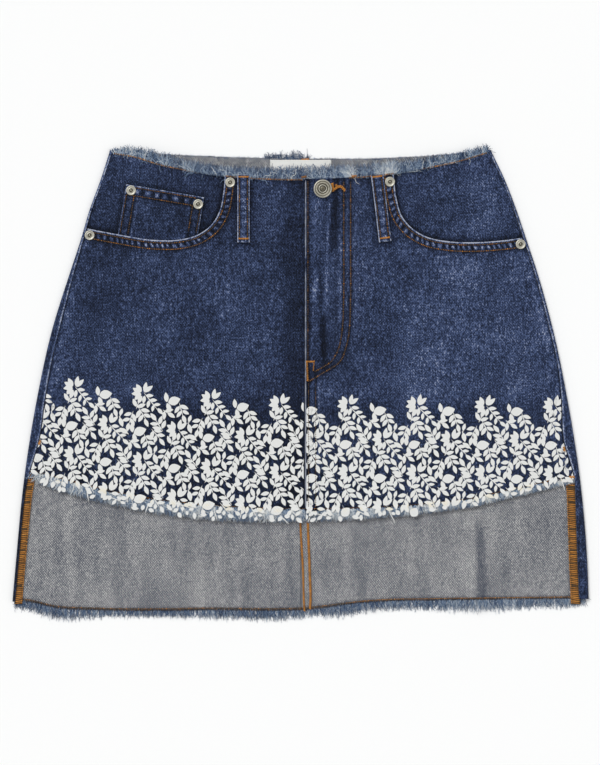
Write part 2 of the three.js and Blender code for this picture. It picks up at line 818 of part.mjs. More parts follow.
add('fringe_back_waist', fringe({
  from: -173,
  to: 170,
  count: 26,
  edge: rawEdge(backPlan, true),
  away: 1,
  length: column(FRAY.back_waist, 'x', 'length'),
  top: backFringeTop,
}), 'backFray');

const { x: buttonX, y: buttonY } = TACK_BUTTON;
const buttonZ = highestUnder(rightFrontTop, buttonX, buttonY, 3.4) + PLY_GAP;
add('waist_button', tackButton(), 'metal', [buttonX, buttonY, buttonZ]);
for (const { name, x, y, on } of RIVETS) {
  const frontSurface = x < 0 ? leftFrontTop : rightFrontTop;
  const top = on === 'coin' ? coinTop : frontSurface;
  add(name, rivet(), 'metal', [x, y, highestUnder(top, x, y, RIVET_RADIUS) + PLY_GAP]);
}

export default skirt;
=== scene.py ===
"""Looks of a denim skirt that lies flat with its front up.

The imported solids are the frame. Each cloth solid is replaced by a thin shell on the same formulas,
and stitching, fray, the leaf print and the metal trim are added to it. Sizes here are in millimetres
and become metres when a mesh is made. Left is -X as seen from above, and +Y runs from hem to waist.
"""

import math

import bpy
import numpy as np
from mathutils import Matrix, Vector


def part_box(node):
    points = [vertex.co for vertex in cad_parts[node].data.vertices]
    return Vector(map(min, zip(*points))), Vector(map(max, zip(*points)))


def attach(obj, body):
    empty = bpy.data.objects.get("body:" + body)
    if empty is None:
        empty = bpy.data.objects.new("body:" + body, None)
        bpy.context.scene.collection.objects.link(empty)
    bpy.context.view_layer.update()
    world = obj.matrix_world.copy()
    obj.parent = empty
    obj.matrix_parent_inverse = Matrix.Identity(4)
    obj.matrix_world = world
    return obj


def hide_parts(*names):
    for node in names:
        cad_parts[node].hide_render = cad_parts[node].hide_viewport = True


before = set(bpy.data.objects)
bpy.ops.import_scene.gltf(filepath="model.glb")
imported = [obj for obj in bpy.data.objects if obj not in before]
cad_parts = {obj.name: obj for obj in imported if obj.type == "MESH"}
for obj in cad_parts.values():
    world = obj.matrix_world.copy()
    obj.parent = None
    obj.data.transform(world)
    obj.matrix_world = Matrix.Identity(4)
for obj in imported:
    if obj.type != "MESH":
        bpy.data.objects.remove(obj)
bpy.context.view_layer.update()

bl_info = {
    "name": "Laid denim skirt",
    "version": (1, 0, 0),
    "blender": (4, 5, 0),
    "location": "3D View > Sidebar > Skirt",
    "description": "Dresses the packed skirt solids in denim, stitching, fray, print and metal trim",
    "category": "Object",
}

METRES = 0.001

# Sizes shared with the solids
CLOTH = 1.2
PLY_GAP = 0.3
FOLD_RADIUS = 2.1
SHEET_TOP = 2 * FOLD_RADIUS
CENTRE_FRONT = 2.8
CENTRE_BACK = -0.6
CROWN = 1.6
CROWN_REACH = 70
FLY_LAP = 2.5
FLY_RISE = CLOTH + PLY_GAP
FLY_WIDTH = 41.7
FLY_BEND = 47
FLY_FOOT = -0.5
CENTRE_SEAM_WIDTH = 12.5
ZIP_RIDGE = {"from": 18.7, "to": 27.3, "side": 1.7, "low": 18, "high": 158, "end": 10}
SHIELD = {"to": 31.7, "low": 30}
BACK_SEAM = {"width": 8, "side": 1.5, "rise": 0.8, "top": 170, "fade": 12}
COIN = {"x": -161.5, "y": 180.8, "turn": -9.6, "width": 72.5, "length": 51.5, "short": 10.5}
COIN_THICK = 1.0
COIN_STEP = COIN_THICK + PLY_GAP
COIN_WINDOW = {"from": -196, "full": -184, "until": -84, "to": -70, "low": 100, "high": 114}
FACING_NEAR = 15
FACING_FAR = 45
FACING_END = 175
# Slope from the lap down to the front, from just inside its width
LAP_FLAT = 2
LAP_SLOPE = 5
FACING = {"left": (-58, 114), "right": (71.6, 112.5)}
LOOP = {"width": 11.5, "length": 61.5, "thick": 1.6, "arch": 0.6}
LABEL = {"left": -29.3, "right": 27, "top": 203.6, "height": 30, "thick": 0.6}
OVERLOCK = {"left": 7.0, "right": 8.6, "thick": 1.2, "top": -80, "bottom": -205.5}
BUTTON_RADIUS = 8.5
RIVET_RADIUS = 4.6
SIGN = {"left": -1, "right": 1}
SIDES = ("left", "right")

# Sizes of the finish
OVERLOCK_TOP = CLOTH + PLY_GAP + 0.75 * OVERLOCK["thick"]
STITCH_GAP = 0.5
BEAD_GAP = 0.2
CHAIN_PITCH = 1.9
INK_THICK = 0.35
# How far a point of the net may move onto the pocket edge
EDGE_REACH = 3
# Sink of the strip at the side seam, and the steps of the half circle round the fold
SEAM_DROP = 0.35
FOLD_TURNS = np.radians(np.arange(-75, 91, 15))
# Cut of what shows of each sheet: width, length, and the share of that box which is cloth
SHEETS = {
    "back": (285, 428, 0.84),
    "front": (254, 316, 0.86),
    "facing": (150, 97, 0.8),
    "coin": (72.5, 51.5, 0.95),
    "shield": (29, 156, 0.99),
    "loop": (11.5, 61.5, 0.98),
    "label": (56.3, 30, 0.99),
}

# Side fold: height, left, right
SIDE_FOLD = np.array([
    (-205, -266.9, 264.2), (-164.7, -263.4, 262.7), (-91.1, -256.1, 256.2),
    (-17.5, -244.4, 244.6), (46.9, -230.3, 231.3), (102.1, -213, 216.1), (130, -203.8, 206.8),
    (157.3, -195.8, 197.6), (184.9, -185.7, 187), (212.5, -176.8, 173.9),
])
# Back cloth on the front, between fold and side seam: height, left, right
SIDE_WRAP = np.array([
    (-205, 2.5, 8.8), (-165, 2.5, 9.1), (-131, 2.5, 7.9), (-102, 2.6, 6.0), (-91, 3.3, 5.2),
    (-52, 8.5, 9.8), (-17, 7.4, 5.4), (20, 6.6, 2.8), (47, 6.6, 3.0), (92, 4.2, 2.8),
    (130, 2.5, 2.5), (213, 2.5, 2.5),
])
# Raw edges: across, height
FRONT_WAIST = np.array([
    (-178, 210.7), (-152.7, 206.2), (-132.5, 199.8), (-105.8, 194.1), (-51.5, 187.2),
    (2.8, 185.6), (62.6, 188.6), (110.4, 195.5), (142.6, 202.2), (173.9, 211.6),
])
BACK_WAIST = np.array([
    (-177.6, 212.5), (-105.8, 207.9), (0, 205), (72, 205.2), (120.5, 207.9), (174, 213),
])
FRONT_HEM = np.array([
    (-249.3, -83.7), (-192, -98.9), (-147, -108.4), (-57, -117.6), (1, -119.1),
    (121, -113.8), (156.4, -109.5), (191.4, -101.4), (252, -88.8),
])
BACK_HEM = np.array([
    (-266.8, -203), (-255.8, -203.2), (-228, -209.3), (-189.5, -211.4), (-80, -211.4),
    (1, -211.1), (68, -203.6), (121, -202.4), (266, -200.6),
])
# Edge of each front pocket, from the waist to the side seam
POCKET_MOUTH = {
    "left": np.array([
        (-70.8, 190), (-72.4, 172.7), (-75.8, 156.4), (-82.5, 144.4), (-94.8, 134.9),
        (-112.2, 129.9), (-132.5, 129.4), (-173, 135.5), (-204, 141.6),
    ]),
    "right": np.array([
        (84.2, 192), (87.2, 166.2), (92, 151.4), (102, 139.8), (115, 132.5),
        (134.9, 128.4), (159.5, 127.6), (184, 129.3), (210, 132.8),
    ]),
}
# Soft folds: middle x and y, half width, half length, turn in degrees, height
SOFT_FOLDS = (
    (-9, 60, 12, 190, 0, -0.8),
    (-150, -10, 42, 120, 14, 0.9),
    (-66, 15, 38, 110, -6, 0.7),
    (92, 10, 40, 115, 7, 0.8),
    (168, -20, 42, 110, -13, 0.9),
    (0, 168, 330, 60, 0, 0.5),
)
BACK_FOLDS = (
    (164, -185, 22, 62, 3, 1.8),
    (66, -192, 20, 42, -4, 1.0),
    (-120, -190, 34, 55, 5, 1.1),
)
BACK_FOLD_FADE = {"from": -130, "to": -150, "side": 30}
# Inset of the overlocked allowances from the fold: height, left, right
OVERLOCK_INSET = np.array([
    (-205, 1.8, 7.6), (-165, 1.8, 7.9), (-131, 1.9, 6.7), (-95, 2.5, 4.6), (-80, 3.6, 4.3),
])
# Belt loops: middle x and y, turn in degrees
BELT_LOOPS = {"left": (-53.7, 158, 0), "right": (72.7, 158.5, 7)}
# The two J rows of the fly, from the waist to the lap edge
J_POINTS = (
    [
        (44.6, 183), (44.6, 120), (44.5, 72), (43.7, 50), (42.1, 37.7), (39.2, 27), (37.2, 21.3), (33, 15.9),
        (26.1, 11.4), (17.8, 6.5), (11.3, 2.4), (5.8, -0.4),
    ],
    [
        (38.3, 183), (38.3, 120), (38.2, 72), (37.4, 52), (35.5, 37.7), (33, 27.9), (30.2, 23), (27, 18),
        (22, 14.4), (16.2, 11), (10, 7.8),
    ],
)


def spline(knots, values):
    """Cubic line through knots. The slope at a knot is that of the parabola through its neighbours."""
    steps = np.diff(knots)
    chords = np.diff(values) / steps
    inner = (chords[:-1] * steps[1:] + chords[1:] * steps[:-1]) / (steps[:-1] + steps[1:])
    slopes = np.concatenate([chords[:1], inner, chords[-1:]])

    def at(x):
        x = np.clip(x, knots[0], knots[-1])
        i = np.clip(np.searchsorted(knots, x) - 1, 0, len(steps) - 1)
        t = (x - knots[i]) / steps[i]
        start = (values[i] * (1 + 2 * t) + slopes[i] * steps[i] * t) * (1 - t) ** 2
        end = (values[i + 1] * (3 - 2 * t) + slopes[i + 1] * steps[i] * (t - 1)) * t**2
        return start + end

    return at


def both_sides(table):
    """Lines of the left and the right side, from a table of height, left, right."""
    return {side: spline(table[:, 0], table[:, column]) for column, side in enumerate(SIDES, 1)}


fold_x = both_sides(SIDE_FOLD)
wrap_width = both_sides(SIDE_WRAP)
overlock_inset = both_sides(OVERLOCK_INSET)
front_waist = spline(*FRONT_WAIST.T)
back_waist = spline(*BACK_WAIST.T)
front_hem = spline(*FRONT_HEM.T)
back_hem = spline(*BACK_HEM.T)


def mix(low, high, share):
    """Value at a share of the way from low to high."""
    return low + (high - low) * share


def smooth(low, high, x):
    """0 before low, 1 after high, and a smooth cubic between them."""
    t = np.clip((x - low) / (high - low), 0, 1)
    return t * t * (3 - 2 * t)


def plateau(x, start, full, until, end):
    """0 outside start and end, 1 between full and until, and smooth in between."""
    return smooth(start, full, x) * (1 - smooth(until, end, x))


def near(x, centre, width):
    """Bell curve: 1 at the centre and 0.37 one width away from it."""
    return np.exp(-(((x - centre) / width) ** 2))


def bands(x, table):
    """Sum of bell curves. Rows: centre, width, strength."""
    return sum(strength * near(x, centre, width) for centre, width, strength in table)


def turned(x, y, middle_x, middle_y, angle):
    """Distances from a middle across and along an axis that is turned by an angle."""
    dx, dy = x - middle_x, y - middle_y
    return dx * math.cos(angle) + dy * math.sin(angle), dy * math.cos(angle) - dx * math.sin(angle)


def placed(across, along, middle_x, middle_y, angle):
    """Place in plan of distances across and along a turned axis: the reverse of turned."""
    x = middle_x + across * math.cos(angle) - along * math.sin(angle)
    return x, middle_y + across * math.sin(angle) + along * math.cos(angle)


def ripple(x, y, length, seed):
    """Smooth random relief, about -1 to 1: sine waves of about one length, each turned its own way."""
    rng = np.random.default_rng(seed)
    total = np.zeros(np.broadcast(x, y).shape)
    for _ in range(9):
        turn = rng.uniform(0, math.tau)
        pace = math.tau / (length * rng.uniform(0.6, 1.7))
        total += np.sin((x * math.cos(turn) + y * math.sin(turn)) * pace + rng.uniform(0, math.tau))
    return total / 3


def seam_x(side, y):
    """Side seam: the fold, less the strip of back cloth that wraps over it."""
    return fold_x[side](y) - SIGN[side] * wrap_width[side](y)


def fold_height(folds, x, y):
    """Sum of cosine bells, each longer than it is wide."""
    height = np.zeros(np.broadcast(x, y).shape)
    for middle_x, middle_y, half_width, half_length, degrees, rise in folds:
        across, along = turned(x, y, middle_x, middle_y, math.radians(degrees))
        reach = np.minimum(np.hypot(across / half_width, along / half_length), 1)
        height += rise * (0.5 + 0.5 * np.cos(math.pi * reach))
    return height


def side_distance(x, y):
    """Distance inwards from the nearer side seam."""
    return np.where(x < 0, x - seam_x("left", y), seam_x("right", y) - x)


def front_top(x, y):
    """Top of the plain front cloth: level at the side seams, crowned further in, with soft folds."""
    return SHEET_TOP + smooth(0, CROWN_REACH, side_distance(x, y)) * (CROWN + fold_height(SOFT_FOLDS, x, y))


def back_lift(x, y):
    """Soft folds of the back cloth that show below the front hem."""
    inward = np.where(x < 0, x - fold_x["left"](y), fold_x["right"](y) - x) - FOLD_RADIUS
    shown = 1 - smooth(BACK_FOLD_FADE["to"], BACK_FOLD_FADE["from"], y)
    return shown * smooth(0, BACK_FOLD_FADE["side"], inward) * fold_height(BACK_FOLDS, x, y)


def back_seam_rise(x, y):
    """Felled centre back seam, raised on the inside of the right half."""
    seam = BACK_SEAM
    across = x - CENTRE_BACK
    width = 1 - smooth(seam["width"], seam["width"] + seam["side"], across)
    length = 1 - smooth(seam["top"] - seam["fade"], seam["top"], y)
    return np.where(across < 0, 0, seam["rise"] * width * length)


def fly_width(y):
    """Width of the stitched lap: straight, then a quarter ellipse, then the plain seam."""
    drop = np.clip((FLY_BEND - y) / (FLY_BEND - FLY_FOOT), 0, 1)
    return np.maximum(FLY_WIDTH * np.sqrt(1 - drop**2), CENTRE_SEAM_WIDTH)


def fly_rise(x, y):
    """Height of the right front over the plain front: the lap, and the ridge over the zip."""
    ridge = ZIP_RIDGE
    across = x - CENTRE_FRONT
    width = fly_width(y)
    lap = 1 - smooth(width - LAP_FLAT, width + LAP_SLOPE, across)
    side, end = ridge["side"], ridge["end"]
    over = plateau(across, ridge["from"] - side, ridge["from"], ridge["to"], ridge["to"] + side)
    length = plateau(y, ridge["low"] - end, ridge["low"], ridge["high"], ridge["high"] + end)
    return FLY_RISE * (lap + over * length)


def way_along(path):
    """Distance of each point of a path from its start."""
    return np.concatenate([[0], np.cumsum(np.hypot(*np.diff(path, axis=0).T))])


def path_of(points, step=1.0):
    """Even points along the smooth line through a few points, in plan."""
    points = np.array(points, float)
    lengths = way_along(points)
    at = np.linspace(0, lengths[-1], max(int(lengths[-1] / step), 2) + 1)
    return np.stack([spline(lengths, points[:, 0])(at), spline(lengths, points[:, 1])(at)], axis=1)


MOUTH = {side: path_of(POCKET_MOUTH[side]) for side in SIDES}
J_ROWS = [path_of(points, 2.0) for points in J_POINTS]


def in_opening(side, x, y):
    """Even-odd test: whether a point lies beyond the pocket edge, where the facing shows."""
    far, high = SIGN[side] * 300, 300
    edge = MOUTH[side]
    outline = np.vstack([edge, [(far, edge[-1, 1]), (far, high), (edge[0, 0], high)]])
    inside = np.zeros(np.broadcast(x, y).shape, bool)
    for (ax, ay), (bx, by) in zip(outline, np.roll(outline, 1, axis=0)):
        if ay != by:
            inside ^= ((ay > y) != (by > y)) & (x < (bx - ax) * (y - ay) / (by - ay) + ax)
    return inside


def nearest_on(edge, x, y):
    """Distance to the nearest point of an edge, and that point's index."""
    flat = np.stack([np.ravel(x), np.ravel(y)], axis=1)
    best = np.full(len(flat), np.inf)
    index = np.zeros(len(flat), int)
    chunk = 4000
    for start in range(0, len(flat), chunk):
        part = flat[start:start + chunk]
        gaps = np.hypot(part[:, None, 0] - edge[None, :, 0], part[:, None, 1] - edge[None, :, 1])
        index[start:start + chunk] = gaps.argmin(1)
        best[start:start + chunk] = gaps.min(1)
    return best.reshape(np.shape(x)), index.reshape(np.shape(x))


def facing_top(side, x, y):
    """Top of a pocket facing: one cloth under the front at the pocket edge, level further in."""
    depth = np.where(in_opening(side, x, y), nearest_on(MOUTH[side], x, y)[0], 0)
    return front_top(x, y) - FLY_RISE * (1 - smooth(FACING_NEAR, FACING_FAR, depth))


def coin_lift(x, y):
    """The left front lifts where the coin pocket is tucked under it."""
    window = COIN_WINDOW
    across = plateau(x, window["from"], window["full"], window["until"], window["to"])
    return COIN_STEP * across * smooth(window["low"], window["high"], y)


def left_front_top(x, y):
    """Top of the left front."""
    return front_top(x, y) + coin_lift(x, y)


def right_front_top(x, y):
    """Top of the right front, which laps over the left."""
    return front_top(x, y) + fly_rise(x, y)


def coin_top(x, y):
    """Top of the coin pocket."""
    return facing_top("left", x, y) + COIN_STEP


def back_inner_top(x, y):
    """Inner face of the back, which looks up below the front hem and inside the waist."""
    return CLOTH + back_lift(x, y) + back_seam_rise(x, y)


def front_surface(x, y):
    """Top of whatever front cloth shows at a point: facing, left front or right front."""
    top = np.where(x < CENTRE_FRONT, left_front_top(x, y), right_front_top(x, y))
    for side in SIDES:
        top = np.where(in_opening(side, x, y), facing_top(side, x, y), top)
    return top


# Making meshes


def new_mesh(name, points, faces, looks, look_of_face=None, values=None, even=True):
    """Object from points in millimetres and lists of faces of one size each, with named point values."""
    mesh = bpy.data.meshes.new(name)
    loops = np.concatenate([part.ravel() for part in faces]).astype(np.int32)
    totals = np.concatenate([np.full(len(part), part.shape[1]) for part in faces]).astype(np.int32)
    mesh.vertices.add(len(points))
    mesh.vertices.foreach_set("co", (np.asarray(points) * METRES).astype(np.float32).ravel())
    mesh.loops.add(len(loops))
    mesh.loops.foreach_set("vertex_index", loops)
    mesh.polygons.add(len(totals))
    mesh.polygons.foreach_set("loop_start", (np.cumsum(totals) - totals).astype(np.int32))
    mesh.polygons.foreach_set("loop_total", totals)
    for material in looks:
        mesh.materials.append(material)
    if look_of_face is not None:
        mesh.polygons.foreach_set("material_index", np.asarray(look_of_face).astype(np.int32))
    mesh.update(calc_edges=True)
    mesh.polygons.foreach_set("use_smooth", np.full(len(totals), even))
    for key, value in (values or {}).items():
        mesh.attributes.new(key, "FLOAT", "POINT").data.foreach_set("value", value.astype(np.float32))
    piece = bpy.data.objects.new(name, mesh)
    bpy.context.scene.collection.objects.link(piece)
    return piece


def xyz(x, y, z):
    """Points from their coordinates."""
    return np.stack([x, y, z], axis=-1)


def grid_faces(columns, rows):
    """Quads of a net whose points are stored column by column."""
    first = (np.arange(columns - 1)[:, None] * rows + np.arange(rows - 1)[None, :]).ravel()
    return np.stack([first, first + rows, first + rows + 1, first + 1], axis=1)


def ring_quads(rings, sides):
    """Quads between rings of points that are stored one ring after the other."""
    first = (np.arange(rings - 1)[:, None] * sides + np.arange(sides)[None, :]).ravel()
    turn = (np.arange(rings - 1)[:, None] * sides + (np.arange(sides)[None, :] + 1) % sides).ravel()
    return np.stack([first, turn, turn + sides, first + sides], axis=1)


def tube_faces(rings, sides):
    """Quads round a tube of rings, and the caps at its two ends."""
    corners = np.arange(sides)
    return [ring_quads(rings, sides), np.array([corners[::-1], corners + (rings - 1) * sides])]


def repeated(faces, copies, points_each):
    """The same faces for many copies, whose points are stored one copy after the other."""
    shift = (np.arange(copies) * points_each)[:, None, None]
    return [(part[None] + shift).reshape(-1, part.shape[1]) for part in faces]


def net_shares(columns, rows, first=0.0, last=1.0):
    """Shares across and up a net for each of its points, column by column."""
    return np.repeat(np.linspace(first, last, columns), rows), np.tile(np.linspace(0, 1, rows), columns)


def cloth_shell(name, outer, inner, quads, looks, wear):
    """Closed cloth: two skins on one net of quads, and a rim along the net's free edges.

    The faces take the looks for outside, inside and cut edge in that order.
    """
    used, quads = np.unique(quads, return_inverse=True)
    quads = quads.reshape(-1, 4)
    outer, inner, wear = outer[used], inner[used], wear[used]
    count = len(outer)
    starts = quads.ravel()
    ends = np.roll(quads, -1, axis=1).ravel()
    free = ~np.isin(starts * count + ends, ends * count + starts)
    starts, ends = starts[free], ends[free]
    rim = np.stack([ends, starts, starts + count, ends + count], axis=1)
    faces = np.vstack([quads, quads[:, ::-1] + count, rim])
    points = np.vstack([outer, inner])
    a, b, c = (points[faces[:len(quads), k]] for k in (0, 1, 2))
    if np.cross(b - a, c - a)[:, 2].sum() < 0:
        faces = faces[:, ::-1]
    look_of_face = np.repeat([0, 1, 2], [len(quads), len(quads), len(rim)])
    return new_mesh(name, points, [faces], looks, look_of_face, {"wear": np.concatenate([wear, wear])})


def cloth_net(name, shape, x, y, top, low, wear, looks=None):
    """Cloth on a whole net of columns and rows, from the heights of its top and its underside."""
    looks = looks or denim_looks()
    return cloth_shell(name, xyz(x, y, top), xyz(x, y, low), grid_faces(*shape), looks, wear)


def dressed(piece, *nodes, slot, sheet=None, rests_on=()):
    """Puts a finished piece on the part: it rides and replaces its solids; its slot is not used."""
    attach(piece, "root")
    if nodes:
        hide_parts(*nodes)
    return piece


def panel_plan(side, centre, fine, fine_step, step, rows, hem, waist, side_x, corners, seam):
    """Plan of a panel half: fine columns beside its centre line and its side, and even ones between.

    corners are the heights of the side's ends, and seam holds the distances of the last columns from the
    side. Rows crowd towards the hem and waist: v = t - crowding sin(2 pi t) / (2 pi).
    """
    crowding = 0.55
    sign = SIGN[side]
    offsets = np.arange(0, fine + fine_step / 2, fine_step)
    t = np.linspace(0, 1, rows)
    v = t - crowding * np.sin(math.tau * t) / math.tau
    edge = side_x(mix(*corners, v))[None, :]
    seam = np.array(seam, float)[:, None]
    span = abs(float(side_x(sum(corners) / 2)) - centre) - fine - seam[0, 0]
    columns = int(span / step)
    shares = (np.arange(1, columns) / columns)[:, None]
    fixed = np.repeat(centre + sign * offsets[:, None], rows, axis=1)
    spread = mix(fixed[-1:], edge - sign * seam[0], shares)
    x = np.vstack([fixed, spread, edge - sign * seam])
    y = mix(hem(x[:, :1]), waist(x[:, -1:]), v[None, :])
    return x, y


# Materials


class Tree:
    """Short way to add nodes to a tree and join them."""

    def __init__(self, tree):
        self.tree = tree
        tree.nodes.clear()

    def give(self, socket, value):
        """Joins another node's output to a socket, or sets the socket to a plain value."""
        if isinstance(value, bpy.types.NodeSocket):
            self.tree.links.new(value, socket)
        else:
            socket.default_value = value

    def node(self, kind, inputs=None, **settings):
        """Node of a kind, with settings by name and inputs by name or number."""
        made = self.tree.nodes.new(kind)
        for key, value in settings.items():
            setattr(made, key, value)
        for key, value in (inputs or {}).items():
            self.give(made.inputs[key], value)
        return made

    def math(self, operation, *values, clamp=False):
        """Output of a math node on values or other outputs."""
        made = self.node("ShaderNodeMath", operation=operation, use_clamp=clamp)
        for socket, value in zip(made.inputs, values):
            self.give(socket, value)
        return made.outputs[0]

    def ramp(self, fac, stops):
        """Colour ramp from (place, sRGB colour) stops."""
        made = self.node("ShaderNodeValToRGB", {"Fac": fac})
        elements = made.color_ramp.elements
        elements.remove(elements[1])
        elements[0].position = stops[0][0]
        elements[0].color = paint(stops[0][1])
        for place, colour in stops[1:]:
            elements.new(place).color = paint(colour)
        return made.outputs["Color"]

    def finish(self, colour, roughness, height, strength, depth, more):
        """Principled shader with bump, joined to the tree's output."""
        bump = self.node("ShaderNodeBump", {"Height": height, "Strength": strength, "Distance": depth})
        shader = self.node("ShaderNodeBsdfPrincipled", {
            "Base Color": colour,
            "Roughness": roughness,
            "Normal": bump.outputs["Normal"],
            **more,
        })
        self.node("ShaderNodeOutputMaterial", {"Surface": shader.outputs["BSDF"]})


def paint(colour):
    """Linear colour with alpha from an sRGB colour of 0 to 255."""
    share = np.asarray(colour, float) / 255
    linear = np.where(share <= 0.04045, share / 12.92, ((share + 0.055) / 1.055) ** 2.4)
    return (*linear.tolist(), 1.0)


def weave_group():
    """Node group of woven cloth: twill lines, crossing yarns, slubs along the warp, and flecks.

    Inputs: Vector, Pitch (a yarn, in metres), Twill, Slub, Fleck and Fade (how strong each one is).
    Outputs: Shade, around 0, and Height, from 0 to 1.
    """
    group = bpy.data.node_groups.new("woven_cloth", "ShaderNodeTree")
    group.interface.new_socket("Vector", in_out="INPUT", socket_type="NodeSocketVector")
    for name, value in (("Pitch", 0.0006), ("Twill", 0.1), ("Slub", 0.2), ("Fleck", 0.3), ("Fade", 0.2)):
        socket = group.interface.new_socket(name, in_out="INPUT", socket_type="NodeSocketFloat")
        socket.default_value = value
    group.interface.new_socket("Shade", in_out="OUTPUT", socket_type="NodeSocketFloat")
    group.interface.new_socket("Height", in_out="OUTPUT", socket_type="NodeSocketFloat")
    tree = Tree(group)
    given = tree.node("NodeGroupInput").outputs
    place = given["Vector"]

    def waves(direction):
        """Sine of the way along a direction, one wave for each yarn pitch."""
        along = tree.node("ShaderNodeVectorMath", {0: place, 1: direction}, operation="DOT_PRODUCT")
        turns = tree.math("DIVIDE", along.outputs["Value"], given["Pitch"])
        return tree.math("SINE", tree.math("MULTIPLY", turns, math.tau))

    def noise(scale, detail):
        """Noise from -0.5 to 0.5, at three scales given for a metre."""
        moved = tree.node("ShaderNodeVectorMath", {0: place, 1: scale}, operation="MULTIPLY")
        made = tree.node("ShaderNodeTexNoise", {"Vector": moved.outputs[0], "Scale": 1.0, "Detail": detail})
        return tree.math("SUBTRACT", made.outputs["Fac"], 0.5)

    twill = tree.math("MULTIPLY_ADD", waves((0.66, -0.72, 0.0)), 0.7, waves((0.74, 0.6, 0.0)))
    yarns = tree.math("MULTIPLY", waves((1.0, 0.0, 0.0)), waves((0.0, 0.8, 0.0)))
    slubs = tree.math("MULTIPLY_ADD", noise((90, 700, 90), 2.0), 0.5, noise((900, 110, 90), 3.0))
    flecks = noise((820, 620, 600), 2.0)
    fades = tree.math("MULTIPLY_ADD", noise((60, 38, 60), 2.0), 0.6, noise((14, 9, 14), 3.0))
    shade = tree.math("MULTIPLY", twill, given["Twill"])
    for layer, strength in ((slubs, "Slub"), (flecks, "Fleck"), (fades, "Fade")):
        shade = tree.math("MULTIPLY_ADD", layer, given[strength], shade)
    height = tree.math("MULTIPLY_ADD", yarns, 0.2, tree.math("MULTIPLY_ADD", twill, 0.2, 0.5))
    height = tree.math("MULTIPLY_ADD", flecks, 0.5, height)
    tree.node("NodeGroupOutput", {"Shade": shade, "Height": height})
    return group


def new_look(name):
    """Empty material, with its tree and its object coordinates."""
    made = bpy.data.materials.new(name)
    made.use_nodes = True
    tree = Tree(made.node_tree)
    return tree, tree.node("ShaderNodeTexCoord").outputs["Object"]


def cloth_look(name, stops, weave, depth=0.00025, roughness=0.9, sheen=0.06, wear="wear"):
    """Cloth coloured through the stops by wear, painted shade and weave, whose weave stands up in bump."""
    tree, place = new_look(name)
    group = tree.node("ShaderNodeGroup", node_tree=bpy.data.node_groups["woven_cloth"])
    for key, value in {"Vector": place, **weave}.items():
        tree.give(group.inputs[key], value)
    start = tree.node("ShaderNodeAttribute", attribute_name=wear).outputs["Fac"] if wear else 0.5
    colour = tree.ramp(tree.math("ADD", start, group.outputs["Shade"], clamp=True), stops)
    tree.finish(colour, roughness, group.outputs["Height"], 0.8, depth, {
        "Sheen Weight": sheen, "Sheen Roughness": 0.5, "Specular IOR Level": 0.15,
    })


def metal_look(name, stops, roughness):
    """Worn metal: its colour runs through the stops with wear and grime, and its scratches are bump."""
    tree, place = new_look(name)
    grime = tree.node("ShaderNodeTexNoise", {"Vector": place, "Scale": 1100.0, "Detail": 3.0})
    scratch = tree.node("ShaderNodeTexNoise", {"Vector": place, "Scale": 2600.0, "Detail": 3.0})
    wear = tree.node("ShaderNodeAttribute", attribute_name="wear").outputs["Fac"]
    spread = tree.math("MULTIPLY", tree.math("SUBTRACT", grime.outputs["Fac"], 0.5), 0.5)
    colour = tree.ramp(tree.math("ADD", wear, spread, clamp=True), stops)
    tree.finish(colour, roughness, scratch.outputs["Fac"], 0.3, 0.00006, {"Metallic": 0.75})


DENIM_WEAVE = {"Pitch": 0.0017, "Twill": 0.06, "Slub": 0.5, "Fleck": 1.3, "Fade": 0.34}
INSIDE_WEAVE = {"Pitch": 0.0016, "Twill": 0.17, "Slub": 0.36, "Fleck": 1.0, "Fade": 0.16}
YARN_WEAVE = {"Pitch": 0.0004, "Twill": 0.12, "Slub": 0.2, "Fleck": 0.2, "Fade": 0.1}
INK_WEAVE = {"Pitch": 0.0019, "Twill": 0.02, "Slub": 0.16, "Fleck": 0.5, "Fade": 0.35}
PLAIN_WEAVE = {"Pitch": 0.0005, "Twill": 0.05, "Slub": 0.08, "Fleck": 0.1, "Fade": 0.06}


def look(name):
    """Material of a name."""
    return bpy.data.materials[name]


def denim_looks():
    """Outside, inside and cut edge of denim."""
    return [look("denim_face"), look("denim_inside"), look("denim_edge")]


# Wear: 0 is dark indigo, 0.5 the plain cloth, 1 worn white; the same values carry painted shade and
# highlights


def fade_and_fly_shadow(x, y):
    """Slow change of tone over the fronts: darker at the hips, paler on the right, painted shadow left of
    the fly.
    """
    fade = 0.42 + 0.07 * smooth(-60, 180, x)
    # Painted shadow of the fly lap on the left front, beside its edge
    fade -= 0.17 * near(x, -6, 10) + 0.14 * near(x, 1, 3.2)
    fade += 0.05 * near(x, 150, 60) * near(y, 60, 90)
    fade -= 0.17 * smooth(-8, -34, y)
    return fade + 0.025 * ripple(x, y, 70, 4) + 0.025 * ripple(x, y, 24, 5)


# Operators


def colour_property(name, description, *rgb):
    """Colour that is given as sRGB of 0 to 255."""
    return bpy.props.FloatVectorProperty(
        name=name, description=description, subtype="COLOR_GAMMA", size=3, min=0, max=1,
        default=[value / 255 for value in rgb],
    )


def size_property(name, description, default, least, most):
    """Length in millimetres, with its limits."""
    return bpy.props.FloatProperty(name=name, description=description, default=default, min=least, max=most)


class SkirtColours(bpy.types.PropertyGroup):
    """Colours that a user would change"""

    denim: colour_property("Denim", "Plain denim, sRGB", 54, 66, 95)
    thread: colour_property("Thread", "Topstitching, sRGB", 186, 122, 48)
    ink: colour_property("Ink", "Printed leaves, sRGB", 222, 223, 221)


class SkirtSizes(bpy.types.PropertyGroup):
    """Sizes that a user would change, in millimetres"""

    stitch: size_property("Stitch", "Length of one topstitch, mm", 2.6, 1.5, 5)
    net: size_property("Net", "Spacing of the points of the cloth, mm", 2.0, 1, 6)
    leaf: size_property("Leaf", "Length of an ordinary printed leaf, mm", 10.4, 5, 20)


def sizes():
    """Sizes of the sidebar."""
    return bpy.context.scene.skirt_sizes


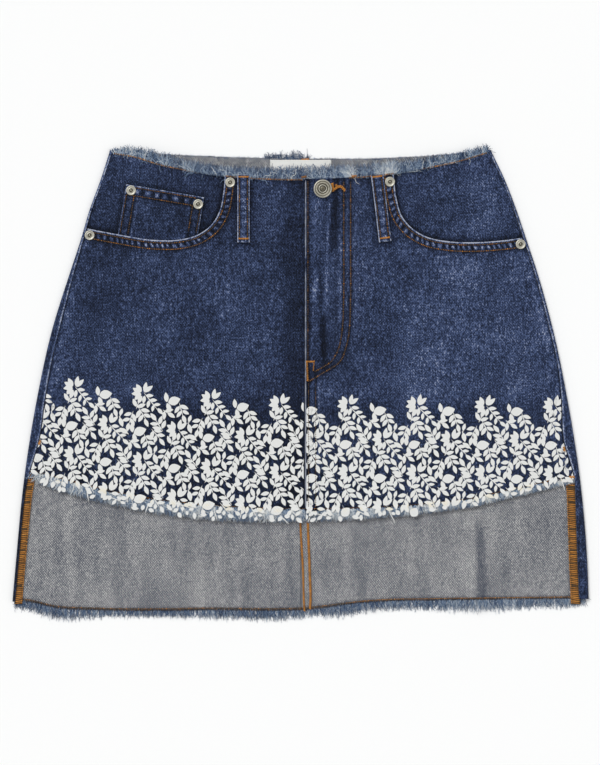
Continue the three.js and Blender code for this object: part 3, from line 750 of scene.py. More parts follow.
def colours():
    """Colours of the sidebar."""
    return bpy.context.scene.skirt_colours


def tinted(colour, *tints):
    """sRGB colours of 0 to 255 made from one colour: each tint scales it and adds grey."""
    base = np.array(colour[:]) * 255
    return [tuple(np.clip(base * scale + grey, 0, 255)) for scale, grey in tints]


class SKIRT_OT_looks(bpy.types.Operator):
    """Make every material of the skirt"""

    bl_idname = "skirt.looks"
    bl_label = "Looks"

    def execute(self, context):
        weave_group()
        dark, deep, plain, pale, worn = tinted(
            colours().denim, (0.42, -16), (0.74, -13), (1.0, -8), (1.3, 8), (0.6, 132),
        )
        denim = [(0.0, dark), (0.3, deep), (0.5, plain), (0.72, pale), (1.0, worn)]
        cloth_look("denim_face", denim, DENIM_WEAVE)
        cloth_look("denim_inside", [
            (0.1, (60, 66, 80)), (0.4, (110, 113, 119)), (0.6, (142, 142, 144)), (0.9, (196, 196, 194)),
        ], INSIDE_WEAVE)
        cloth_look("denim_edge", [(0.2, (96, 108, 134)), (0.8, (196, 202, 212))], YARN_WEAVE)
        cloth_look("roll", [(0.1, (62, 72, 98)), (0.5, (148, 154, 168)), (0.9, (206, 206, 204))], YARN_WEAVE)
        dull, brown, gold, light = tinted(colours().thread, (0.08, 22), (0.34, 40), (1.0, 0), (1.0, 36))
        cloth_look("topstitch", [(0.05, dull), (0.4, brown), (0.68, gold), (0.95, light)], YARN_WEAVE,
                   depth=0.0001, roughness=0.7)
        cloth_look("yarn", [
            (0.0, (26, 36, 62)), (0.25, (62, 82, 116)), (0.5, (118, 142, 172)), (0.75, (184, 198, 212)),
            (1.0, (238, 239, 236)),
        ], YARN_WEAVE, depth=0.0001)
        fresh, cracked = tinted(colours().ink, (1.0, 0), (0.86, 0))
        ink = [(0.0, (52, 62, 92)), (0.2, cracked), (0.36, fresh), (0.66, fresh), (0.92, (226, 221, 206))]
        cloth_look("ink", ink, INK_WEAVE, sheen=0.0)
        cloth_look("label_cloth", [(0.2, (214, 214, 210)), (0.7, (240, 240, 237))], PLAIN_WEAVE)
        cloth_look("zip_cloth", [(0.3, (24, 30, 46)), (0.7, (44, 52, 74))], PLAIN_WEAVE, wear=None)
        metal_look("worn_metal", [(0.0, (36, 34, 32)), (0.35, (104, 99, 84)), (0.85, (206, 204, 192))], 0.48)
        return {"FINISHED"}


class SKIRT_OT_back(bpy.types.Operator):
    """Make the two back panels, which fold round the sides onto the front"""

    bl_idname = "skirt.back"
    bl_label = "Back panels"

    def execute(self, context):
        for side in SIDES:
            self.half(side)
        return {"FINISHED"}

    def half(self, side):
        """Flat net to the start of the fold, a half circle round it, and the strip to the side seam."""
        sign = SIGN[side]
        low = float(back_hem(fold_x[side](BACK_HEM[0, 1])))
        high = float(back_waist(fold_x[side](BACK_WAIST[0, 1])))
        x, y = panel_plan(
            side, CENTRE_BACK + sign * PLY_GAP / 2, fine=12, fine_step=1.5, step=sizes().net * 1.7, rows=136,
            hem=back_hem, waist=back_waist, side_x=lambda at: fold_x[side](at) - sign * FOLD_RADIUS,
            corners=(low, high), seam=(3, 0),
        )
        lift = back_lift(x, y)
        outer = [xyz(x, y, lift)]
        inner = [xyz(x, y, lift + CLOTH + back_seam_rise(x, y) + self.relief(x, y))]
        edge_y = y[-1]
        axis = fold_x[side](edge_y) - sign * FOLD_RADIUS
        for turn in FOLD_TURNS:
            for skins, radius in ((outer, FOLD_RADIUS), (inner, FOLD_RADIUS - CLOTH)):
                height = np.full_like(axis, FOLD_RADIUS + radius * math.sin(turn))
                skins.append(xyz(axis + sign * radius * math.cos(turn), edge_y, height)[None])
        for share in 1 - np.linspace(0.92, 0, 10) ** 2:
            strip_x = mix(axis, seam_x(side, edge_y), share)
            drop = SEAM_DROP * near(share, 1, 0.3)
            for skins, top in ((outer, SHEET_TOP), (inner, SHEET_TOP - CLOTH)):
                skins.append(xyz(strip_x, edge_y, np.full_like(strip_x, top - drop))[None])
        outer, inner = np.concatenate(outer), np.concatenate(inner)
        wear = self.outside_wear(outer[..., 0], outer[..., 1], side)
        wear[:len(x)] = self.inside_tone_and_fold_shade(x, y)
        name = f"back_{side}"
        piece = cloth_shell(
            f"{name}_cloth", outer.reshape(-1, 3), inner.reshape(-1, 3), grid_faces(*outer.shape[:2]),
            denim_looks(), wear.ravel(),
        )
        dressed(piece, name, slot="denim", sheet=SHEETS["back"])

    @staticmethod
    def relief(x, y):
        """Slight cockle of the inner face, with a pucker line along the hem."""
        hem = near(y - back_hem(x), 4.5, 2.4) * 0.14 * np.sin(x * math.tau / 7)
        return 0.12 * ripple(x, y, 46, 21) + hem

    @staticmethod
    def inside_tone_and_fold_shade(x, y):
        """Even grey, a little darker at the seam, hem and a low patch; painted shade and highlight at two
        folds.
        """
        wear = 0.49 + 0.03 * ripple(x, y, 60, 22) + 0.05 * ripple(3 * x, 0.3 * y, 40, 25)
        wear -= 0.08 * near(x - CENTRE_BACK, 0, 0.9)
        wear -= 0.34 * near(y - back_hem(x), 0.8, 2.2)
        wear -= 0.12 * near(x, -10, 4) * near(y, -184, 26)
        # Crease of the soft fold near x 164: painted shade in it and a painted highlight beside it, added
        # below
        crease = 164 + 0.04 * (-150 - y)
        # Painted shade in the crease of the soft fold near x 58
        wear -= 0.1 * near(x, 58, 3.5) * smooth(-165, -180, y)
        return wear + 0.08 * near(x, 155, 6) - 0.3 * near(x, crease, 3.2) * smooth(-120, -140, y)

    @staticmethod
    def outside_wear(x, y, side):
        """The strip round the fold: worn at the crest of the fold, dark at the side seam."""
        crest = np.abs(x - fold_x[side](y))
        inward = np.abs(x - seam_x(side, y))
        wear = 0.4 + 0.08 * near(crest, 0, 1.2) + 0.04 * ripple(x, y, 16, 23)
        dark = 0.28 if side == "left" else 0.12 - 0.14 * near(crest, 5, 3)
        wear -= dark * smooth(-80, -100, y)
        rim = (0.42 + 0.12 * ripple(x, y, 13, 24)) * near(inward, 0.6, 0.75)
        return wear + rim * smooth(-98, -86, y)


class SKIRT_OT_front(bpy.types.Operator):
    """Make the two front panels, cut along the pocket edges"""

    bl_idname = "skirt.front"
    bl_label = "Front panels"

    def execute(self, context):
        for side, centre, fine, fine_step, top, end in (
            ("left", CENTRE_FRONT + FLY_LAP, 22, 1.5, left_front_top, 0),
            ("right", CENTRE_FRONT, 50, 1.0, right_front_top, -1),
        ):
            x, y = panel_plan(
                side, centre, fine, fine_step, step=sizes().net * 1.2, rows=150,
                hem=front_hem, waist=front_waist,
                side_x=lambda at, side=side: seam_x(side, at) - SIGN[side] * PLY_GAP,
                corners=(FRONT_HEM[end, 1], FRONT_WAIST[end, 1]),
                seam=(8, 6.6, 5.4, 4.4, 3.4, 2.5, 1.7, 1.0, 0.4, 0),
            )
            self.half(side, x, y, top)
        return {"FINISHED"}

    def half(self, side, x, y, top):
        """The net's cells in the pocket opening are dropped, and the points round it moved onto its edge."""
        quads = grid_faces(*x.shape)
        x, y = x.ravel().copy(), y.ravel().copy()
        gone = in_opening(side, x[quads].mean(1), y[quads].mean(1))
        border = np.intersect1d(quads[gone], quads[~gone])
        distance, index = nearest_on(MOUTH[side], x[border], y[border])
        close = distance < EDGE_REACH
        x[border[close]], y[border[close]] = MOUTH[side][index[close]].T
        z = top(x, y)
        name = f"front_{side}"
        piece = cloth_shell(
            f"{name}_cloth", xyz(x, y, z + self.relief(x, y)), xyz(x, y, z - CLOTH), quads[~gone],
            denim_looks(), self.wear(side, x, y),
        )
        dressed(piece, name, slot="denim", sheet=SHEETS["front"], rests_on=[f"back_{side}_cloth"])

    @staticmethod
    def relief(x, y):
        """Low relief: cockles, and puckers at the hem, waist and side seam."""
        rise = 0.16 * ripple(x, y, 38, 31) * smooth(4, 24, side_distance(x, y))
        rise += 0.12 * np.sin(x * math.tau / 8 + np.sin(x / 9)) * near(y - front_hem(x), 5, 3)
        rise += 0.12 * np.sin(x * math.tau / 7) * near(front_waist(x) - y, 5, 3)
        rise -= 0.25 * near(side_distance(x, y), 0, 1.4)
        return rise + 0.1 * np.sin(y * math.tau / 9) * near(side_distance(x, y), 5, 3)

    @staticmethod
    def wear(side, x, y):
        """Fade of the front cloth with worn ridges; painted shade in seam grooves, by pocket hems and belt
        loops.
        """
        inward = side_distance(x, y)
        wear = fade_and_fly_shadow(x, y) + belt_loop_shadow(x, y)
        # Painted shade in the groove of the side seam
        wear -= 0.3 * near(inward, 0.2, 1.3)
        wear += (0.08 + 0.07 * ripple(x, y, 8, 33)) * near(inward, 5, 3.5)
        # Painted shade in the grooves of the hem and waist stitching
        wear -= 0.1 * near(y - front_hem(x), 1.8, 2) + 0.1 * near(front_waist(x) - y, 2, 2.5)
        distance = nearest_on(MOUTH[side], x, y)[0]
        # Painted shade along the edge of the turned pocket hem
        wear -= 0.12 * near(distance, 10.5, 2.4)
        wear += 0.05 * ripple(x, y, 9, 34) * near(distance, 15, 5)
        return wear + (fly_wear_and_shade(x, y) if side == "right" else 0)


def belt_loop_shadow(x, y):
    """Painted shadow on the cloth close round the belt loops."""
    shade = np.zeros(np.shape(x))
    for middle_x, middle_y, degrees in BELT_LOOPS.values():
        across, along = (np.abs(way) for way in turned(x, y, middle_x, middle_y, math.radians(degrees)))
        gap = np.hypot(np.maximum(across - LOOP["width"] / 2, 0), np.maximum(along - LOOP["length"] / 2, 0))
        shade -= 0.2 * near(gap, 0, 4.5)
    return shade


# Across the fly: worn pale lines and painted shade in the stitch row grooves: centre, width, strength
LAP_EDGE_WEAR_AND_SHADE = ((3.2, 0.9, 0.34), (5.6, 1.6, -0.3))
LOW_SEAM_SHADE_AND_WEAR = ((6, 1.4, 0.22), (12.5, 1.3, 0.26), (15.6, 1.1, -0.2))


def fly_wear_and_shade(x, y):
    """Colour of the lap: worn edge and zip patches, painted shade beside the zip ridge and in the row
    grooves.
    """
    upper, middle, lower = smooth(112, 126, y), near(y, 88, 26), smooth(64, 54, y) * smooth(4, 30, y)
    outer, inner = (nearest_on(row, x, y)[0] for row in J_ROWS)
    inside = smooth(-2, 12, y) * smooth(46, 42, x)
    wear = bands(x, LAP_EDGE_WEAR_AND_SHADE) - 0.05 * inside
    patch = 1 + 0.5 * ripple(x, y, 14, 35)
    wear += patch * (0.2 * middle * near(x, 11.3, 3.4) + 0.1 * upper * near(x, 14, 7))
    # Painted shade in the trough left of the zip ridge
    wear -= 0.22 * middle * near(x, 16.8, 1.7) + 0.36 * lower * near(x, 19 + 0.03 * (62 - y), 3)
    ridge = 22.4 + 0.055 * np.maximum(y - 108, 0)
    wear += (0.24 * upper + 0.2 * middle) * near(x, ridge, 1.2)
    # Painted shade in the trough right of the zip ridge
    wear -= 0.24 * upper * near(x, ridge + 5.5, 4.0)
    wear += 0.08 * near(outer, 5.5, 2.5) * (x > 40) + 0.1 * near(x, 35.2, 1.6) * smooth(50, 60, y)
    # Painted shade in the grooves of the J rows
    wear -= 0.3 * near(outer, 0, 1.3) + 0.3 * near(inner, 0, 1.3)
    wear += 0.08 * (1 + ripple(x, y, 11, 36)) * near(x, 53, 6) * inside
    # Painted shade in the grooves of the two rows below the lap, and a pale line beside them
    return wear - (1 - smooth(-2, 14, y)) * bands(x, LOW_SEAM_SHADE_AND_WEAR)


# Painted shadow on a facing under the pocket edge, by distance from it: distance, width, strength
FACING_PAINTED_SHADOW = ((0, 5, -0.12), (0.6, 1.8, -0.22))


class SKIRT_OT_facings(bpy.types.Operator):
    """Make the facings behind the pocket openings"""

    bl_idname = "skirt.facings"
    bl_label = "Pocket facings"

    def execute(self, context):
        columns, rows = 76, 50
        for side in SIDES:
            inner_x, low = FACING[side]
            sign = SIGN[side]
            s = np.linspace(0, 1, columns)[:, None]
            t = np.linspace(0, 1, rows)[None, :]
            high = front_waist(mix(inner_x, sign * FACING_END, s))
            x = mix(inner_x, seam_x(side, mix(low, high, t)) - sign * PLY_GAP, s)
            y = mix(low, front_waist(x), t)
            x, y = x.ravel(), y.ravel()
            z = facing_top(side, x, y)
            relief = 0.12 * ripple(x, y, 30, 41) * smooth(2, 14, side_distance(x, y))
            mouth = nearest_on(MOUTH[side], x, y)[0]
            wear = fade_and_fly_shadow(x, y) - 0.05 + bands(mouth, FACING_PAINTED_SHADOW)
            # Painted shade in the groove of the side seam
            wear -= 0.06 * near(side_distance(x, y), 0, 3)
            # Painted shade round the coin pocket's sides and top on the left facing
            if side == "left":
                wear -= 0.22 * near(coin_distance(x, y), 0, 4)
            name = f"pocket_facing_{side}"
            piece = cloth_net(f"{name}_cloth", (columns, rows), x, y, z + relief, z - CLOTH, wear)
            dressed(piece, name, slot="denim", sheet=SHEETS["facing"], rests_on=[f"back_{side}_cloth"])
        return {"FINISHED"}


COIN_AXIS = (COIN["x"], COIN["y"], math.radians(COIN["turn"]))


def coin_point(along, down):
    """Point of the coin pocket's plane in plan, from its top left corner."""
    return placed(along, -down, *COIN_AXIS)


def coin_distance(x, y):
    """Distance outside the coin pocket's sides and top."""
    along, up = turned(x, y, *COIN_AXIS)
    return np.hypot(np.maximum(np.maximum(-along, along - COIN["width"]), 0), np.maximum(up, 0))


# Painted shade in the stitch grooves of the coin pocket's top hem and sides: distance from the edge, width,
# strength
COIN_TOP_PAINTED_SHADE = ((2.0, 1.0, -0.36), (9.2, 1.1, -0.34), (11.8, 1.2, -0.06))
COIN_SIDE_PAINTED_SHADE = ((1.9, 1.0, -0.34), (9.0, 1.1, -0.32))


class SKIRT_OT_coin_pocket(bpy.types.Operator):
    """Make the coin pocket on the left facing"""

    bl_idname = "skirt.coin_pocket"
    bl_label = "Coin pocket"

    def execute(self, context):
        shape = 74, 50
        s, t = net_shares(*shape)
        along = COIN["width"] * s
        down = t * (COIN["length"] - COIN["short"] * s**3)
        x, y = coin_point(along, down)
        z = coin_top(x, y)
        side = np.minimum(along, COIN["width"] - along)
        spots = np.sin(along * math.tau / 9 + np.sin(along / 5))
        side_spots = np.sin(down * math.tau / 8 + np.sin(down / 4))
        relief = 0.3 * (1 - smooth(10, 11.2, down)) + 0.12 * spots * near(down, 5.6, 2.6)
        relief += 0.15 * (1 - smooth(9.6, 10.8, side)) * smooth(10, 12, down)
        wear = 0.33 + 0.025 * ripple(x, y, 18, 51)
        wear += (0.5 + 0.14 * ripple(x, y, 8, 52)) * near(down, 0.3, 1.0) + 0.46 * near(side, 0.2, 0.9)
        # Painted shade in the grooves of the stitch rows
        wear += bands(down, COIN_TOP_PAINTED_SHADE) + bands(side, COIN_SIDE_PAINTED_SHADE) * smooth(8, 10, down)
        wear += (0.42 * spots + 0.03) * near(down, 5.6, 2.0) + 0.16 * near(side, 12.4, 1.2)
        wear += (0.1 * side_spots + 0.03) * near(side, 5.6, 1.9) * smooth(11, 14, down)
        piece = cloth_net("coin_pocket_cloth", shape, x, y, z + relief, z - COIN_THICK, wear)
        dressed(piece, "coin_pocket", slot="denim", sheet=SHEETS["coin"],
                rests_on=["pocket_facing_left_cloth"])
        return {"FINISHED"}


class SKIRT_OT_fly(bpy.types.Operator):
    """Make the shield under the fly and give the hidden zip its finish"""

    bl_idname = "skirt.fly"
    bl_label = "Fly shield and zip"

    def execute(self, context):
        shape = 16, 76
        s, t = net_shares(*shape)
        x = CENTRE_FRONT + mix(FLY_LAP + PLY_GAP, SHIELD["to"], s)
        y = mix(SHIELD["low"], front_waist(x) - 1, t)
        z = front_top(x, y)
        piece = cloth_net("fly_shield_cloth", shape, x, y, z, z - CLOTH, np.full_like(x, 0.4))
        dressed(piece, "fly_shield", slot="denim", sheet=SHEETS["shield"], rests_on=["back_right_cloth"])
        zip_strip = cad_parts["fly_zip"]
        zip_strip.data.materials.clear()
        zip_strip.data.materials.append(look("zip_cloth"))
        return {"FINISHED"}


def loop_underside(x, y, share):
    """Underside of a belt loop, which arches a little between its ends."""
    return front_top(x, y) + PLY_GAP + LOOP["arch"] * np.sin(math.pi * share) ** 2


# Worn edge and painted shade in the stitch groove of a belt loop, from its edge inwards: distance, width,
# strength
LOOP_EDGE_WEAR_AND_SHADE = ((0.4, 0.9, 0.36), (2.0, 1.0, -0.5))


class SKIRT_OT_belt_loops(bpy.types.Operator):
    """Make the belt loops, folded straps with worn edges"""

    bl_idname = "skirt.belt_loops"
    bl_label = "Belt loops"

    def execute(self, context):
        shape = 17, 90
        s, t = net_shares(*shape, -0.5, 0.5)
        for side, (middle_x, middle_y, degrees) in BELT_LOOPS.items():
            across = s * (LOOP["width"] - 0.3 * near(t, 0.5, 0.4))
            along = (t - 0.5) * LOOP["length"]
            x, y = placed(across, along, middle_x, middle_y, math.radians(degrees))
            low = loop_underside(x, y, t)
            edge = LOOP["width"] / 2 - np.abs(across)
            spots = np.sin(along * math.tau / 7 + np.sin(along / 4))
            round_off = 0.5 * (1 - smooth(0, 1.3, edge))
            relief = 0.14 * spots * near(edge, 3.2, 2) - 0.2 * near(edge, 2, 0.7)
            # Worn pale edges and painted shade in the stitch grooves; the left edge has a painted highlight
            # too
            wear = 0.56 + bands(edge, LOOP_EDGE_WEAR_AND_SHADE) + 0.14 * (across < 0) * near(edge, 0.4, 0.9)
            wear += 0.14 * spots * near(edge, 4.6, 1.6)
            wear += 0.03 * ripple(x, y, 9, 61) + 0.3 * near(along + LOOP["length"] / 2, 0.8, 1.1)
            piece = cloth_net(
                f"belt_loop_{side}_cloth", shape, x, y, low + LOOP["thick"] - round_off + relief, low, wear,
            )
            dressed(piece, f"belt_loop_{side}", slot="denim", sheet=SHEETS["loop"],
                    rests_on=[f"front_{side}_cloth"])
        return {"FINISHED"}


class SKIRT_OT_label(bpy.types.Operator):
    """Make the blank white label inside the back waist"""

    bl_idname = "skirt.label"
    bl_label = "Waist label"

    def execute(self, context):
        shape = 48, 26
        s, t = net_shares(*shape)
        x = mix(LABEL["left"], LABEL["right"], s)
        y = mix(LABEL["top"] - LABEL["height"], LABEL["top"], t)
        low = CLOTH + back_lift(x, y) + PLY_GAP + 0.12 * ripple(x, y, 26, 71) + 0.12
        width = LABEL["right"] - LABEL["left"]
        side = np.minimum(np.minimum(s, 1 - s) * width, (1 - t) * LABEL["height"])
        piece = cloth_net(
            "waist_label_cloth", shape, x, y, low + LABEL["thick"] - 0.2 * near(side, 1.6, 0.5), low,
            0.6 - 0.25 * near(side, 1.6, 0.6), [look("label_cloth")] * 3,
        )
        dressed(piece, "waist_label", slot="label", sheet=SHEETS["label"], rests_on=["back_right_cloth"])
        return {"FINISHED"}


# Sewing


STITCH_SIDES = 5
STITCH_SHARES = np.array([0.0, 0.28, 0.72, 1.0])
STITCH_RADII = np.array([0.45, 1.0, 1.0, 0.45])


def sew(name, starts, ends, widths, heights, tones):
    """Stitches as one mesh: each is a short yarn with five sides that dips in at both ends.

    Ring k of a stitch stands at a share u along it, lifted by h (1.15 (1 - (2u - 1)^2) - 0.45), and its
    radius shrinks towards the ends.
    """
    starts, ends = np.asarray(starts, float), np.asarray(ends, float)
    count = len(starts)
    widths, heights, tones = (np.broadcast_to(v, count).astype(float) for v in (widths, heights, tones))
    angles = np.arange(STITCH_SIDES) * math.tau / STITCH_SIDES + math.pi / 2
    run = ends - starts
    flat = np.hypot(run[:, 0], run[:, 1])[:, None] + 1e-9
    across = xyz(-run[:, 1], run[:, 0], np.zeros(count)) / flat
    up = np.array([0.0, 0.0, 1.0])
    centre = starts[:, None] + run[:, None] * STITCH_SHARES[None, :, None]
    lift = heights[:, None] * (1.15 * (1 - (2 * STITCH_SHARES - 1) ** 2) - 0.45)
    centre = centre + up * lift[..., None]
    ring = (
        across[:, None, None] * (np.cos(angles) / 2)[None, None, :, None] * widths[:, None, None, None]
        + up * (np.sin(angles) / 2)[None, None, :, None] * heights[:, None, None, None]
    )
    points = centre[:, :, None] + ring * STITCH_RADII[None, :, None, None]
    rings = len(STITCH_SHARES)
    quads, caps = tube_faces(rings, STITCH_SIDES)
    faces = repeated([quads[:, [0, 3, 2, 1]], caps[:, ::-1]], count, rings * STITCH_SIDES)
    wear = np.repeat(tones, rings * STITCH_SIDES)
    return new_mesh(name, points.reshape(-1, 3), faces, [look("topstitch")], values={"wear": wear})


def points_at(distance, lengths, path):
    """Points of a path at distances along it."""
    return np.stack([np.interp(distance, lengths, path[:, k]) for k in (0, 1)], axis=1)


def row_of(path, stitch, seed):
    """Ends of the stitches along a path in plan: even pitch, with a little jitter in length."""
    rng = np.random.default_rng(seed)
    lengths = way_along(path)
    pitch = stitch + STITCH_GAP
    count = max(int(lengths[-1] / pitch), 1)
    middle = (np.arange(count) + 0.5) * pitch
    half = stitch / 2 * rng.uniform(0.88, 1.08, count)
    return points_at(middle - half, lengths, path), points_at(middle + half, lengths, path)


def beside(path, distance):
    """Path moved sideways by a distance, to its left when positive."""
    run = np.gradient(path, axis=0)
    run /= np.hypot(*run.T)[:, None]
    return path + distance * np.stack([-run[:, 1], run[:, 0]], axis=1)


def on_top(points, surface, lift):
    """Plan points raised onto a surface."""
    return np.column_stack([points, surface(points[:, 0], points[:, 1]) + lift])


class Sewing:
    """Collects rows of stitches and bar tacks, then makes them one mesh."""

    def __init__(self):
        self.parts = []

    def add(self, starts, ends, surface, lift, width, height, tones):
        """Stitches between places in plan, laid on a surface."""
        count = len(starts)
        self.parts.append((
            on_top(starts, surface, lift), on_top(ends, surface, lift),
            np.full(count, width), np.full(count, height), tones + np.zeros(count),
        ))

    def row(self, path, surface, tone, seed, width=0.95, height=0.5, lift=0.12):
        """Twisted thread: each stitch shows as two beads."""
        rng = np.random.default_rng(seed + 500)
        starts, ends = row_of(path, sizes().stitch / 2 - BEAD_GAP, seed)
        # One stitch in about six is paler: a painted glint on the twisted thread
        tones = tone + rng.uniform(-0.12, 0.12, len(starts)) + 0.22 * (rng.random(len(starts)) < 0.16)
        self.add(starts, ends, surface, lift, width, height, tones)

    def tack(self, start, end, surface, tone, seed, across, pitch=0.62):
        """Bar tack from start to end: close stitches across the bar, leaning either way in turn."""
        start, end = np.array(start, float), np.array(end, float)
        length = np.hypot(*(end - start))
        along = (end - start) / length
        side = np.array([-along[1], along[0]])
        count = max(int(length / pitch), 2)
        s = (np.arange(count) + 0.5) / count
        rng = np.random.default_rng(seed + 900)
        lean = np.where(np.arange(count) % 2, 0.35, -0.35)[:, None] * along
        middle = start + (end - start) * s[:, None]
        reach = (across / 2 * rng.uniform(0.85, 1.1, count))[:, None] * side
        tones = tone + rng.uniform(-0.1, 0.1, count)
        starts, ends = middle - reach - lean, middle + reach + lean
        self.add(starts, ends, surface, lift=0.3, width=0.72, height=0.6, tones=tones)

    def chain(self, path, surface, tone, seed, width):
        """Chain stitch seen from below: thick links that cross the row one way and then the other."""
        reach = 0.3 * width
        lengths = way_along(path)
        s = np.arange(0, lengths[-1] - 1.4 * CHAIN_PITCH, CHAIN_PITCH / 2)
        way = np.where(np.arange(len(s)) % 2, 1, -1)[:, None]

        def link_end(distance, way):
            left, right = (points_at(distance, lengths, beside(path, offset)) for offset in (-reach, reach))
            return np.where(way < 0, left, right)

        tones = tone + np.random.default_rng(seed).uniform(-0.14, 0.14, len(s))
        starts, ends = link_end(s, way), link_end(s + 1.3 * CHAIN_PITCH, -way)
        self.add(starts, ends, surface, lift=0.35, width=width * 0.4, height=0.9, tones=tones)

    def strand(self, line, surface, width, tone):
        """Thick loose thread along a short line."""
        self.add(line[:-1], line[1:], surface, lift=0.5, width=width, height=width * 0.7, tones=tone)

    def make(self, name):
        """Makes the mesh and puts it on the part."""
        piece = sew(name, *(np.concatenate([part[k] for part in self.parts]) for k in range(5)))
        dressed(piece, slot="thread")


def plan_path(x_values, height_of, offset):
    """Path in plan beside a raw edge."""
    return np.stack([x_values, height_of(x_values) + offset], axis=1)


# Rows inside the front waist: first and last x, seed
WAIST_ROWS = ((-173, 2, 11), (43, 171, 13))
# Bar tacks at the edges: start, end, tone, width of the bar
EDGE_TACKS = (
    ((-0.5, 187.2), (4.2, 187.8), 0.5, 2.4),
    ((45.6, 188.0), (50.4, 188.6), 0.7, 2.2),
    ((-240.6, -54.6), (-242.0, -58.6), 0.68, 2.4),
    ((240.8, -60.4), (241.6, -64.6), 0.68, 2.4),
    ((246.0, -88.6), (250.6, -88.2), 0.74, 3.0),
)
# Bar tacks of the fly, the last two at the buttonhole: start, end, tone, seed, width of the bar, pitch
FLY_TACKS = (
    ((3.6, 17.8), (11.6, 17.8), 0.66, 26, 2.2, 0.62),
    ((4.5, 17.4), (5.2, -0.2), 0.58, 27, 2.2, 0.8),
    ((11.0, 16.6), (10.4, 9.4), 0.5, 60, 1.2, 0.62),
    ((27.6, 181.6), (28.4, 173.8), 0.72, 28, 3.4, 0.5),
    ((31.4, 180.6), (31.8, 177.6), 0.6, 29, 2.6, 0.62),
)
# Loose thread beside the buttonhole
BUTTONHOLE_THREAD = (
    (27.8, 174.6), (30.6, 176.2), (33.2, 178.0), (35.9, 177.9), (38.2, 175.6), (39.6, 174.2),
)
# Chain rows of the centre back seam: points, width, seed
BACK_CHAINS = (
    (((-2.4, -96), (-1.5, -132), (1.0, -176), (2.0, -208), (2.4, -213)), 3.0, 52),
    (((5.2, -96), (5.5, -132), (7.1, -176), (7.7, -205), (7.3, -211)), 3.6, 53),
)
# Rows inside the back hem: first and last x, points, offset, tone, seed, width, lift
BACK_HEM_ROWS = (
    (-261, 258, 560, 1.3, 0.12, 51, 2.4, 0.12),
    (-261, 40, 300, 2.2, 0.34, 55, 1.3, 0.3),
    (40, 258, 240, 1.9, 0.56, 56, 0.95, 0.3),
)


